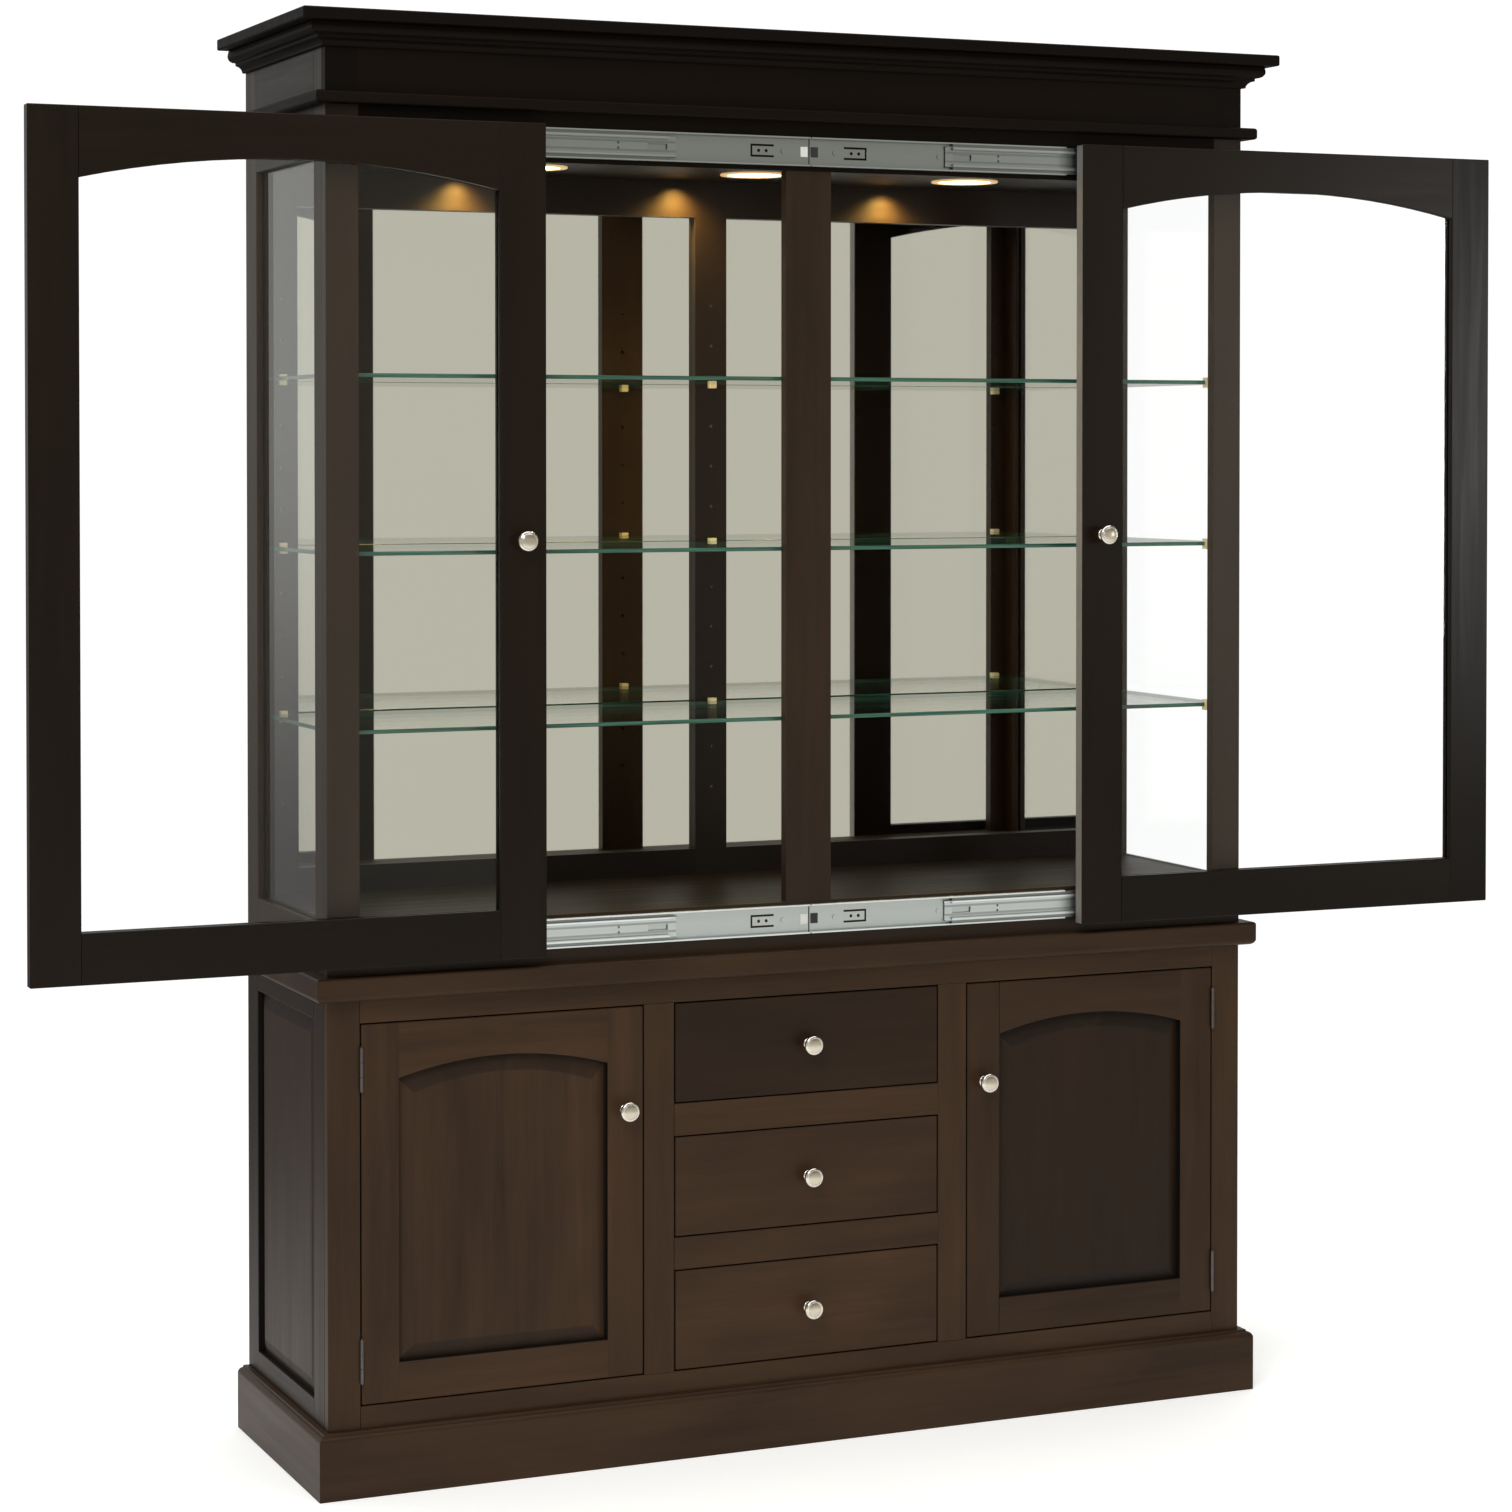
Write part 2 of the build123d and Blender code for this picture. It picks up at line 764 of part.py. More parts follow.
def hutch_side_frame():
    """Right side: two stiles, two rails and a rebate for the pane, open to the inside."""
    x0 = inner_wall
    x1 = half_width
    y0, y1 = side_glass_span()
    z0 = hutch_opening_bottom
    z1 = hutch_opening_top
    r = pane_rebate
    rebate = board(x0 - cut_over, x1 - pane_lip, y0 - r, y1 + r, z0 - r, z1 + r)
    boards = [
        board(x0, x1, frame_back, y0, countertop_top, cap_bottom),
        board(x0, x1, y1, back, countertop_top, cap_bottom),
        board(x0, x1, y0, y1, countertop_top, z0),
        board(x0, x1, y0, y1, z1, cap_bottom),
    ]
    return [less_tie_plates(piece - rebate) for piece in boards]


def hutch_side_pane():
    """Right side's glass in its rebate."""
    x1 = half_width - pane_lip
    y0, y1 = side_glass_span()
    r = pane_rebate
    return [board(x1 - pane_thickness, x1, y0 - r, y1 + r, hutch_opening_bottom - r, hutch_opening_top + r)]


def hutch_side_beads():
    """Strips behind the right side's glass that hold it in the rebate."""
    x0 = inner_wall
    x1 = half_width - pane_lip - pane_thickness
    y0, y1 = side_glass_span()
    z0 = hutch_opening_bottom
    z1 = hutch_opening_top
    r = pane_rebate
    return [
        board(x0, x1, y0 - r, y0, z0 - r, z1 + r),
        board(x0, x1, y1, y1 + r, z0 - r, z1 + r),
        board(x0, x1, y0, y1, z0 - r, z0),
        board(x0, x1, y0, y1, z1, z1 + r),
    ]


def hutch_deck():
    z1 = hutch_opening_bottom
    return [board(-inner_wall, inner_wall, frame_back, backing_front, z1 - deck_thickness, z1)]


def light_places():
    """The lights' centres: one in the middle and one in each half."""
    x = half_width - light_from_side
    y = front + light_from_front
    return [(-x, y), (0.0, y), (x, y)]


def hutch_ceiling():
    """Ceiling board with a hole for each light."""
    z0 = ceiling_underside
    slab = board(-inner_wall, inner_wall, frame_back, back_frame_front, z0, z0 + ceiling_thickness)
    for x, y in light_places():
        slab = slab - disc(x, y, z0 - cut_over, light_hole_radius, ceiling_thickness + 2 * cut_over)
    return [slab]


def back_frame_openings():
    """The two openings of the back frame as (x0, x1)."""
    inner = back_centre_stile / 2
    outer = inner_wall - back_outer_stile
    return (-outer, -inner), (inner, outer)


def hutch_back_frame():
    """Stiles and rails in front of the mirrors, with the pin holes and the mirrors' rebate."""
    y0 = back_frame_front
    y1 = backing_front
    z0 = hutch_opening_bottom
    z1 = ceiling_underside + ceiling_thickness + back_frame_above_ceiling
    half_centre = back_centre_stile / 2
    boards = both_sides([board(inner_wall - back_outer_stile, inner_wall, y0, y1, z0, z1)])
    boards.append(board(-half_centre, half_centre, y0, y1, z0, z1))
    for x0, x1 in back_frame_openings():
        boards.append(board(x0, x1, y0, y1, z0, back_rail_top))
        boards.append(board(x0, x1, y0, y1, back_rail_bottom, z1))
    for pane in hutch_mirrors():
        boards = [piece - pane for piece in boards]
    return [with_pin_holes(piece, back_pin_columns(), y0, 1) for piece in boards]


def hutch_mirrors():
    """Silvered panes let into the back of the back frame."""
    r = mirror_rebate
    y0 = backing_front - mirror_thickness
    z0 = back_rail_top - r
    z1 = back_rail_bottom + r
    return [board(x0 - r, x1 + r, y0, backing_front, z0, z1) for x0, x1 in back_frame_openings()]


def glass_shelves():
    x1 = inner_wall - glass_shelf_play
    y0 = frame_back + glass_shelf_front_gap
    y1 = back_frame_front - glass_shelf_back_gap
    return [board(-x1, x1, y0, y1, z0, z0 + glass_shelf_thickness) for z0 in glass_shelf_bottoms]


def shelf_clip(x, wall, direction, gap, shelf_bottom):
    """A clip on a pin: the pin goes into the stile, and the clip grips the edge of a glass shelf."""
    half = shelf_clip_width / 2
    glass_edge = wall + direction * gap
    end = glass_edge + direction * shelf_clip_grip
    y0, y1 = sorted((wall, end))
    shelf_top = shelf_bottom + glass_shelf_thickness
    block = board(x - half, x + half, y0, y1, shelf_bottom - shelf_clip_below, shelf_top + shelf_clip_above)
    slot_y0, slot_y1 = sorted((glass_edge - direction * shelf_clip_play, end + direction * cut_over))
    slot = board(x - half - cut_over, x + half + cut_over, slot_y0, slot_y1, shelf_bottom,
                 shelf_top + shelf_clip_play)
    pin_start = (x, wall - direction * pin_hole_depth, shelf_bottom - pin_hole_radius)
    pin = rod(pin_start, (0, direction, 0), pin_hole_radius, pin_hole_depth + gap / 2)
    return block - slot + pin


def glass_shelf_pins():
    """Pins with clips in the front and back stiles, one under each hold of the glass shelves."""
    pins = []
    for shelf_bottom in glass_shelf_bottoms:
        for x in front_pin_columns():
            pins.append(shelf_clip(x, frame_back, 1, glass_shelf_front_gap, shelf_bottom))
        for x in back_pin_columns():
            pins.append(shelf_clip(x, back_frame_front, -1, glass_shelf_back_gap, shelf_bottom))
    return pins


def wood_shelf_pins():
    """Pins on the partitions and sides under the shelves behind the base doors."""
    z = base_opening_bottom + base_shelf_rise - base_shelf_thickness - wood_pin_radius
    left_wall = drawer_half_opening + partition_thickness
    pins = []
    for y in (frame_back + wood_pin_inset, backing_front - wood_pin_inset):
        pins.append(rod((left_wall, y, z), (1, 0, 0), wood_pin_radius, wood_pin_reach))
        pins.append(rod((inner_wall, y, z), (-1, 0, 0), wood_pin_radius, wood_pin_reach))
    return both_sides(pins)


def light_ring(x, y):
    z0 = ceiling_underside - light_ring_thickness
    ring = disc(x, y, z0, light_ring_radius, light_ring_thickness)
    return ring - disc(x, y, z0 - cut_over, light_lens_radius + light_lens_play,
                       light_ring_thickness + 2 * cut_over)


def light_lens(x, y):
    return disc(x, y, ceiling_underside - light_lens_thickness, light_lens_radius, light_lens_thickness)


def light_can(x, y):
    """A can closed at the top, behind each lens."""
    radius = light_hole_radius - light_can_play
    can = disc(x, y, ceiling_underside, radius, light_can_height)
    bore_height = light_can_height - light_can_top + cut_over
    return can - disc(x, y, ceiling_underside - cut_over, radius - light_can_wall, bore_height)


def light_driver():
    """The lights' power supply, on the ceiling between the middle light and the right one."""
    x = half_width / 4
    y = front + light_from_front
    z0 = ceiling_underside + ceiling_thickness
    return board(x - driver_length / 2, x + driver_length / 2, y - driver_width / 2, y + driver_width / 2,
                 z0, z0 + driver_height)


def crown_cap():
    corner = half_width + cap_overhang
    slab = board(-corner, corner, front - cap_overhang, back, cap_bottom, total_height)
    edges = edges_at(slab, cap_bottom) + edges_at(slab, total_height)
    return [fillet(edges, cap_edge_round)]


def crown_moulding():
    """From below: a foot, a cove, a fillet and an ovolo up to the cap."""
    z0 = cap_bottom - crown_height
    cove_start = (crown_foot, z0 + crown_foot_edge)
    cove_end = (crown_foot + crown_cove_width, z0 + crown_foot_edge + crown_cove_height)
    ovolo_start = (cove_end[0] + crown_quirk, cove_end[1] + crown_fillet)
    ovolo_end = (ovolo_start[0] + crown_ovolo_width, ovolo_start[1] + crown_ovolo_height)
    outline = Polyline((0, z0), (crown_foot, z0), cove_start)
    outline += RadiusArc(cove_start, cove_end, crown_cove_radius)
    outline += Polyline(cove_end, (cove_end[0], ovolo_start[1]), ovolo_start)
    outline += RadiusArc(ovolo_start, ovolo_end, -crown_ovolo_radius)
    outline += Polyline(ovolo_end, (ovolo_end[0] - crown_lean, cap_bottom), (0, cap_bottom), (0, z0))
    return moulding(make_face(outline), ovolo_end[0])


def astragal():
    """A rounded band round the body above the sliding doors."""
    out = astragal_stand_out
    z1 = cap_bottom - astragal_below_cap
    profile = Pos(out / 2, z1 - astragal_height / 2) * Rectangle(out, astragal_height)
    outer_corners = profile.vertices().sort_by(Axis.X)[-2:]
    return moulding(fillet(outer_corners, astragal_round), out)


# --------------------------------------------------------------------------------- sliding doors


def sliding_door_opening():
    """Opening of the right sliding door when shut: x0, x1, bottom, corners and apex of the arch."""
    x0 = sliding_door_half_gap + sliding_door_stile
    x1 = half_width - sliding_door_stile
    z0 = sliding_door_bottom + sliding_door_bottom_rail
    z_middle = sliding_door_top - sliding_door_top_rail
    return x0, x1, z0, z_middle - sliding_door_arch, z_middle


def sliding_door_boards():
    """Stiles and rails of the right sliding door, with the pane's rebate."""
    x0, x1, z0, z_side, z_middle = sliding_door_opening()
    left = sliding_door_half_gap
    right = half_width
    y0 = door_face
    y1 = door_back
    bottom = sliding_door_bottom
    top = sliding_door_top
    r = pane_rebate
    arch = arch_prism(x0, x1, z0, z_side, z_middle, y0 - cut_over, y1 + cut_over)
    boards = [
        board(left, x0, y0, y1, bottom, top),
        board(x1, right, y0, y1, bottom, top),
        board(x0, x1, y0, y1, bottom, z0),
        board(x0, x1, y0, y1, z_side - cut_over, top) - arch,
    ]
    rebate = board(x0 - r, x1 + r, y0 + pane_lip, y1 + cut_over, z0 - r, z_middle + r)
    return [piece - rebate for piece in boards]


def sliding_door_pane():
    x0, x1, z0, z_side, z_middle = sliding_door_opening()
    r = pane_rebate
    y0 = door_face + pane_lip
    return [board(x0 - r, x1 + r, y0, y0 + pane_thickness, z0 - r, z_middle + r)]


def sliding_door_beads():
    """Strips behind the pane that hold it in the rebate."""
    x0, x1, z0, z_side, z_middle = sliding_door_opening()
    y0 = door_face + pane_lip + pane_thickness
    y1 = door_back
    r = pane_rebate
    return [
        board(x0 - r, x0, y0, y1, z0 - r, z_middle + r),
        board(x1, x1 + r, y0, y1, z0 - r, z_middle + r),
        board(x0, x1, y0, y1, z0 - r, z0),
        board(x0, x1, y0, y1, z_middle, z_middle + r),
    ]


def sliding_door_knob():
    x = sliding_door_half_gap + sliding_door_stile / 2
    return knob(x, door_face, sliding_door_bottom + sliding_knob_rise)


def slide_run(section, x0, x1, z):
    """A slide member of that section along the face frame, between two X."""
    plane = Plane(origin=(x1, front, z), x_dir=(0, -1, 0), z_dir=(-1, 0, 0))
    return extrude(plane * section, amount=x1 - x0)


def slide_cut(x0, x1, z, height0, height1, depth):
    """Cutter through the web of a slide member at that depth."""
    return board(x0, x1, front - depth - sheet - cut_over, front - depth + cut_over, z + height0,
                 z + height1)


def slide_hole(x, z, radius, depth):
    return rod((x, front - depth + cut_over, z), (0, -1, 0), radius, sheet + 2 * cut_over)


def slide_fixed(z):
    """Right fixed member: channel with curled lips, a punched tab with two holes and a stop."""
    x0 = slide_end_gap
    h = slide_half_height
    curl = section_pair(slide_lip - sheet, slide_lip, h - 2 * sheet, h)
    solid = slide_run(channel_section(0, slide_lip, h) + curl, x0, x0 + slide_length, z)
    tab_start = x0 + tab_from_end
    tab_end = tab_start + tab_length
    t = tab_half_height
    solid = solid - slide_cut(tab_start, tab_end, z, t - tab_slot, t, 0)
    solid = solid - slide_cut(tab_start, tab_end, z, -t, tab_slot - t, 0)
    solid = solid - slide_cut(tab_end - tab_slot, tab_end, z, -t, t, 0)
    for step in range(2):
        x = tab_end - tab_hole_from_end - step * tab_hole_pitch
        solid = solid - slide_hole(x, z, tab_hole_radius, 0)
    stop_x0 = x0 + stop_from_end
    half_stop = stop_height / 2
    stop = board(stop_x0, stop_x0 + stop_size, front - sheet - stop_rise, front - sheet, z - half_stop,
                 z + half_stop)
    return solid + stop


def slide_screws(z):
    """Flat screw heads in the fixed member of a right slide."""
    first = slide_end_gap + screw_from_end
    last = slide_end_gap + slide_length - screw_from_end
    places = (first, (first + last) / 2, last)
    return [rod((x, front - sheet, z), (0, -1, 0), screw_head_radius, screw_head_height) for x in places]


def slide_middle(z):
    """Right middle member with its rows of balls, a slot and two small holes near its inner end."""
    x0 = slide_end_gap + middle_end_gap
    x1 = slide_end_gap + slide_length - middle_end_gap
    h = middle_half_height
    solid = slide_run(channel_section(middle_web, middle_lip, h), x0, x1, z)
    outer_row = section_pair(middle_web + sheet, outer_balls_to, h, slide_half_height - sheet - slide_play)
    inner_row = section_pair(inner_balls_from, inner_balls_to, inner_half_height + slide_play, h - sheet)
    for row in (outer_row, inner_row):
        solid = solid + slide_run(row, x0 + ball_row_end, x1 - ball_row_end, z)
    slot_x0 = x0 + middle_slot_from_end
    half_slot = middle_slot_height / 2
    solid = solid - slide_cut(slot_x0, slot_x0 + middle_slot_length, z, -half_slot, half_slot, middle_web)
    for height in (z - middle_hole_rise, z + middle_hole_rise):
        solid = solid - slide_hole(x0 + middle_hole_from_end, height, middle_hole_radius, middle_web)
    return solid


def slide_door_member(z):
    """Right door member, fixed to the door's back."""
    section = channel_section(slide_depth - sheet, inner_lip, inner_half_height)
    return slide_run(section, slide_end_gap + inner_end_gap, slide_end_gap + slide_length, z)


# ------------------------------------------------------------------------------------ write nodes

save("plinth", plinth())
save("base_face_frame", base_face_frame())
save("base_side_frames", both_sides(base_side_frame()))
save("base_side_panels", both_sides(base_side_panel()))
save("base_carcass", base_carcass())
save("back_panels", back_panels())
save("base_shelves", base_shelves())
save("countertop", countertop())
save("door_catches", door_catches())
save("hinge_leaves_fixed", both_sides([hinge_fixed_half(z) for z in hinge_bottoms()]))

base_door = {
    "frame": base_door_frame(),
    "panel": base_door_panel(),
    "knob": base_door_knob(),
    "hinges": [hinge_moving_half(z) for z in hinge_bottoms()] + [strike_plate()],
}
for part_name, pieces in base_door.items():
    save(f"right_base_door_{part_name}", pieces)
    save(f"left_base_door_{part_name}", mirrored(pieces))

drawer_slides_fixed = []
for index, place in enumerate(("bottom", "middle", "top")):
    drawer_slides_fixed.extend(drawer_slide_fixed(index))
    save(f"{place}_drawer_front", drawer_front(index))
    save(f"{place}_drawer_box", drawer_box(index))
    save(f"{place}_drawer_knob", knob(0, front, drawer_middle(index)))
    save(f"{place}_drawer_slides", drawer_slide_moving(index))
save("drawer_slides_fixed", drawer_slides_fixed)

save("hutch_face_frame", hutch_face_frame())
save("hutch_side_frames", both_sides(hutch_side_frame()))
save("hutch_side_glass", both_sides(hutch_side_pane()))
save("hutch_side_beads", both_sides(hutch_side_beads()))
save("hutch_deck", hutch_deck())
save("hutch_ceiling", hutch_ceiling())
save("hutch_back_frame", hutch_back_frame())
save("hutch_mirrors", hutch_mirrors())
save("glass_shelves", glass_shelves())
save("shelf_pins", glass_shelf_pins() + wood_shelf_pins())
save("light_rings", [light_ring(x, y) for x, y in light_places()])
save("light_lenses", [light_lens(x, y) for x, y in light_places()])
save("light_cans", [light_can(x, y) for x, y in light_places()] + [light_driver()])
save("crown_cap", crown_cap())
save("crown_moulding", crown_moulding())
save("astragal", astragal())
save("tie_plates", tie_plates())

slide_screw_heads = [head for height in slide_heights for head in slide_screws(height)]
fixed_members = [slide_fixed(height) for height in slide_heights]
middle_members = [slide_middle(height) for height in slide_heights]
save("door_slides_fixed", both_sides(fixed_members + slide_screw_heads))
save("right_slide_middles", moved(middle_members, right_open / 2))
save("left_slide_middles", moved(mirrored(middle_members), -left_open / 2))

sliding_door = {
    "frame": sliding_door_boards() + sliding_door_beads(),
    "glass": sliding_door_pane(),
    "knob": sliding_door_knob(),
    "slides": [slide_door_member(height) for height in slide_heights],
}
for part_name, pieces in sliding_door.items():
    save(f"right_sliding_door_{part_name}", moved(pieces, right_open))
    save(f"left_sliding_door_{part_name}", moved(mirrored(pieces), -left_open))
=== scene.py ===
"""Finishes of the china cabinet: stained wood, glass, mirrors, hardware, lights and the studio."""
import json
import math

import bmesh
import bpy
from bpy.props import FloatProperty, FloatVectorProperty, PointerProperty
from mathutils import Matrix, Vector
from mathutils.noise import cell

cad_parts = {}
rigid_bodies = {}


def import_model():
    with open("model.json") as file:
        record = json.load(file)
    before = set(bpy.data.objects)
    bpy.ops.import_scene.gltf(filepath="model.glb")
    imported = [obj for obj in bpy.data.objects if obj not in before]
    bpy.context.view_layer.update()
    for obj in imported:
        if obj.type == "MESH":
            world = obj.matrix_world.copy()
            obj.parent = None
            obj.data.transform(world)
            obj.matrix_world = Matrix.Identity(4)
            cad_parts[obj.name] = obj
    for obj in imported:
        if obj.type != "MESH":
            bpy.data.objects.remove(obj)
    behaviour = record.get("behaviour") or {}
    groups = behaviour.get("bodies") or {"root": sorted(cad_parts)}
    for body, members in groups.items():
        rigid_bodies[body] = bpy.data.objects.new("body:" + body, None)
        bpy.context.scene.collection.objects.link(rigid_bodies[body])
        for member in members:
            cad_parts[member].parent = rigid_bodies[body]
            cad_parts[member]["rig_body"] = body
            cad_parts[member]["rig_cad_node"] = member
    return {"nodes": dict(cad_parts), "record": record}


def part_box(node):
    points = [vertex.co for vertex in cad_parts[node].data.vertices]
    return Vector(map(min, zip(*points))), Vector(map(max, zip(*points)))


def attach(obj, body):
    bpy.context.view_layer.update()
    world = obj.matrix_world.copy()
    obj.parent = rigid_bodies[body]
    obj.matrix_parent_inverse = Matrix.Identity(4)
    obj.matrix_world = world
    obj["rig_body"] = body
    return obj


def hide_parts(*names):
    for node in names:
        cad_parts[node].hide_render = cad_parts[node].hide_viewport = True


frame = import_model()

bl_info = {
    "name": "China cabinet finishes",
    "version": (1, 0, 0),
    "blender": (4, 5, 0),
    "location": "View3D > Sidebar > Cabinet",
    "description": "Dresses a china cabinet with sliding glass doors: wood, glass, metal, lights",
    "category": "Object",
}

BODIES = frame["record"]["behaviour"]["bodies"]
BODY_OF = {node: body for body, nodes in BODIES.items() for node in nodes}

# Nodes that share a finish
SIDES = ("left", "right")
DRAWERS = ("bottom", "middle", "top")
BASE_BOARDS = ("plinth", "base_face_frame", "base_side_frames", "base_carcass", "base_shelves",
               "countertop")
HUTCH_BOARDS = ("hutch_face_frame", "hutch_side_frames", "hutch_side_beads")
INNER_BOARDS = ("hutch_deck", "hutch_ceiling", "hutch_back_frame")
CROWN_BOARDS = ("crown_cap", "crown_moulding", "astragal")
BASE_DOOR_FRAMES = tuple(f"{side}_base_door_frame" for side in SIDES)
BASE_DOOR_PANELS = tuple(f"{side}_base_door_panel" for side in SIDES)
GLASS_DOOR_BOARDS = tuple(f"{side}_sliding_door_frame" for side in SIDES)
DRAWER_FRONTS = tuple(f"{place}_drawer_front" for place in DRAWERS)
DRAWER_BOXES = tuple(f"{place}_drawer_box" for place in DRAWERS)
PANES = ("hutch_side_glass", "left_sliding_door_glass", "right_sliding_door_glass")
KNOBS = tuple(f"{place}_drawer_knob" for place in DRAWERS) + tuple(
    f"{side}_{door}_door_knob" for side in SIDES for door in ("base", "sliding"))
HINGES = ("hinge_leaves_fixed", "left_base_door_hinges", "right_base_door_hinges")
DOOR_SLIDES = ("door_slides_fixed", "left_sliding_door_slides", "right_sliding_door_slides",
               "left_slide_middles", "right_slide_middles")
DRAWER_SLIDES = ("drawer_slides_fixed",) + tuple(f"{place}_drawer_slides" for place in DRAWERS)

# Boards that are darker than their neighbours, and by how much. The right base door, the top drawer
# front and the crown cap carry painted shade: they are made darker than the light on them makes
# them.
DARKER_BY_TONE_AND_SHADE = {"top_drawer_front": 0.46, "middle_drawer_front": 0.9, "right_base_door_panel": 0.42,
          "right_base_door_frame": 0.82, "left_base_door_panel": 0.95, "base_side_frames": 0.45,
          "base_side_panels": 0.55, "crown_cap": 0.3, "hutch_deck": 0.4, "countertop": 0.75,
          "plinth": 0.9}

# The woods of a board: its faces, then where stain has pooled with painted shade in gaps and
# recesses, its end grain with painted shade, and the crown's
HUTCH_WOODS = ("espresso_stain", "pooled_stain", "end_grain_stain", "crown_stain")
BASE_WOODS = ("base_stain",) + HUTCH_WOODS[1:]
POOLED_SHADE_SLOT = 1
END_GRAIN_SHADE_SLOT = 2
CROWN_SLOT = 3

# Axes, and how directly a face has to look along one
X_AXIS = 0
Y_AXIS = 1
DEAD_FLAT = 0.9999
BROAD_SIDE = 0.95
EDGE_ON = 0.2
PANEL_BEVELS = (0.8, 0.9995)

# Distances and angles of the mesh work
MERGED = 1e-5
TOUCHING = 1e-4
SAME_PLANE = math.radians(0.3)
ROUND_FACETS = math.radians(25)
CORNERS = math.radians(35)

# Heights at which the tone of the hutch changes: the boards above them are made darker
UPPER_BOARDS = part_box("hutch_face_frame")[1].z - 0.22
CROWN_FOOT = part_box("astragal")[0].z + 0.002
CROWN_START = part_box("astragal")[1].z - 0.002
FRIEZE_ABOVE = 0.03

# Depths and sizes of the faces that belong to holes and stained strips
PIN_HOLE_LIP = 0.0015
PIN_HOLE_DEPTH = 0.0100
PIN_HOLE_AREA = 0.00005
FRONT_MARGIN = 0.005
SIDE_MARGIN = 0.02
NO_MARGIN = -0.001
FIELD_DEPTH = 0.003

# Slides: half heights with the brightness painted there as highlight and shade, cut-outs, screw
# holes and stops
OUTER_LIGHT_BANDS = ((0.0, 0.56), (0.0185, 0.52), (0.0205, 0.42), (0.0212, 1.0), (0.0230, 1.0))
INNER_LIGHT_BANDS = ((0.0, 0.62), (0.0048, 0.66), (0.0058, 0.30), (0.0085, 0.34), (0.0095, 0.74),
               (0.0125, 0.62), (0.0135, 1.0), (0.0152, 1.0), (0.0160, 0.10), (0.0190, 0.10))
SLIDE_INSIDE = 0.0112
CUT_WALL = 0.3
SLIDE_CUT_AREA = 0.0004
SCREW_HOLE_AREA = 0.000012
SCREW_HOLE_SIDES = 7
UPPER_SLIDES = 1.5
STOP_REACH = 0.0155
STOP_HALF_HEIGHT = 0.0085
STOP_FOOT = 0.0013
STOP_SLOTS = (2, 3)

# Knobs: radius and reach of the turned profile, and the middle of the face, given a darker colour as
# a painted reflection
KNOB_PROFILE = ((0.0, 0.0), (0.0090, 0.0), (0.0095, 0.0006), (0.0095, 0.0026), (0.0088, 0.0034),
                (0.0062, 0.0044), (0.0054, 0.0075), (0.0056, 0.0110), (0.0066, 0.0142),
                (0.0092, 0.0166), (0.0132, 0.0180), (0.0153, 0.0192), (0.0160, 0.0212),
                (0.0156, 0.0232), (0.0143, 0.0248), (0.0122, 0.0258), (0.0116, 0.0256),
                (0.0110, 0.0260), (0.0075, 0.0272), (0.0040, 0.0278), (0.0, 0.0280))
KNOB_STEPS = 48
KNOB_FACE_DEPTH = 0.0021
KNOB_FACE_RADIUS = 0.0112

# Patterns: what most noise keeps within, and scales along and across the grain
NOISE_RANGE = (0.3, 0.7)
FINE_RANGE = (0.35, 0.65)
BLOTCHES = (2.4, 9.0, 9.0)
FIGURE = (2.5, 55.0, 55.0)
PORES = (22.0, 850.0, 850.0)
ROLLING_LINES = (5.0, 500.0, 500.0)
STAIN_CONTRAST = 1.1
PALE_CONTRAST = 0.8
WOOD_GLOSS = 0.22
GRAIN_SHIFT = 40
BOARD_DRIFT = 0.08

# Lamps of the hutch: cones, size of the source, distance below the lens
LAMP_CONE = math.radians(150)
THROW_CONE = math.radians(136)
LAMP_SIZE = 0.016
LENS_GAP = 0.004

# Soft boxes of the studio (place, target, size), and where the floor fades
KEY_BOX = ((-3.0, -3.6, 4.4), (-0.2, 0.0, 0.9), (2.2, 2.2))
TOP_BOX = ((0.0, -0.4, 4.8), (0.0, -0.4, 0.0), (5.5, 5.5))
SIDE_BOX = ((3.55, -3.45, 1.65), (1.2, -0.2, 1.65), (0.5, 1.2))
FLOOR_FADE = (0.42, 0.98)


# Settings


def colour(name, description, default):
    return FloatVectorProperty(name=name, description=description, subtype="COLOR", size=3, min=0.0,
                               max=1.0, default=default)


def amount(name, description, default, **limits):
    return FloatProperty(name=name, description=description, default=default, **limits)


def coordinate(name, description, default):
    return amount(name, description, default, unit="LENGTH")


def length(name, description, default):
    return amount(name, description, default, unit="LENGTH", min=0.0)


def share(name, description, default):
    return amount(name, description, default, subtype="FACTOR", min=0.0, max=1.0)


def power(name, description, default):
    return amount(name, description, default, unit="POWER", min=0.0)


def angle(name, description, degrees):
    return amount(name, description, math.radians(degrees), unit="ROTATION")


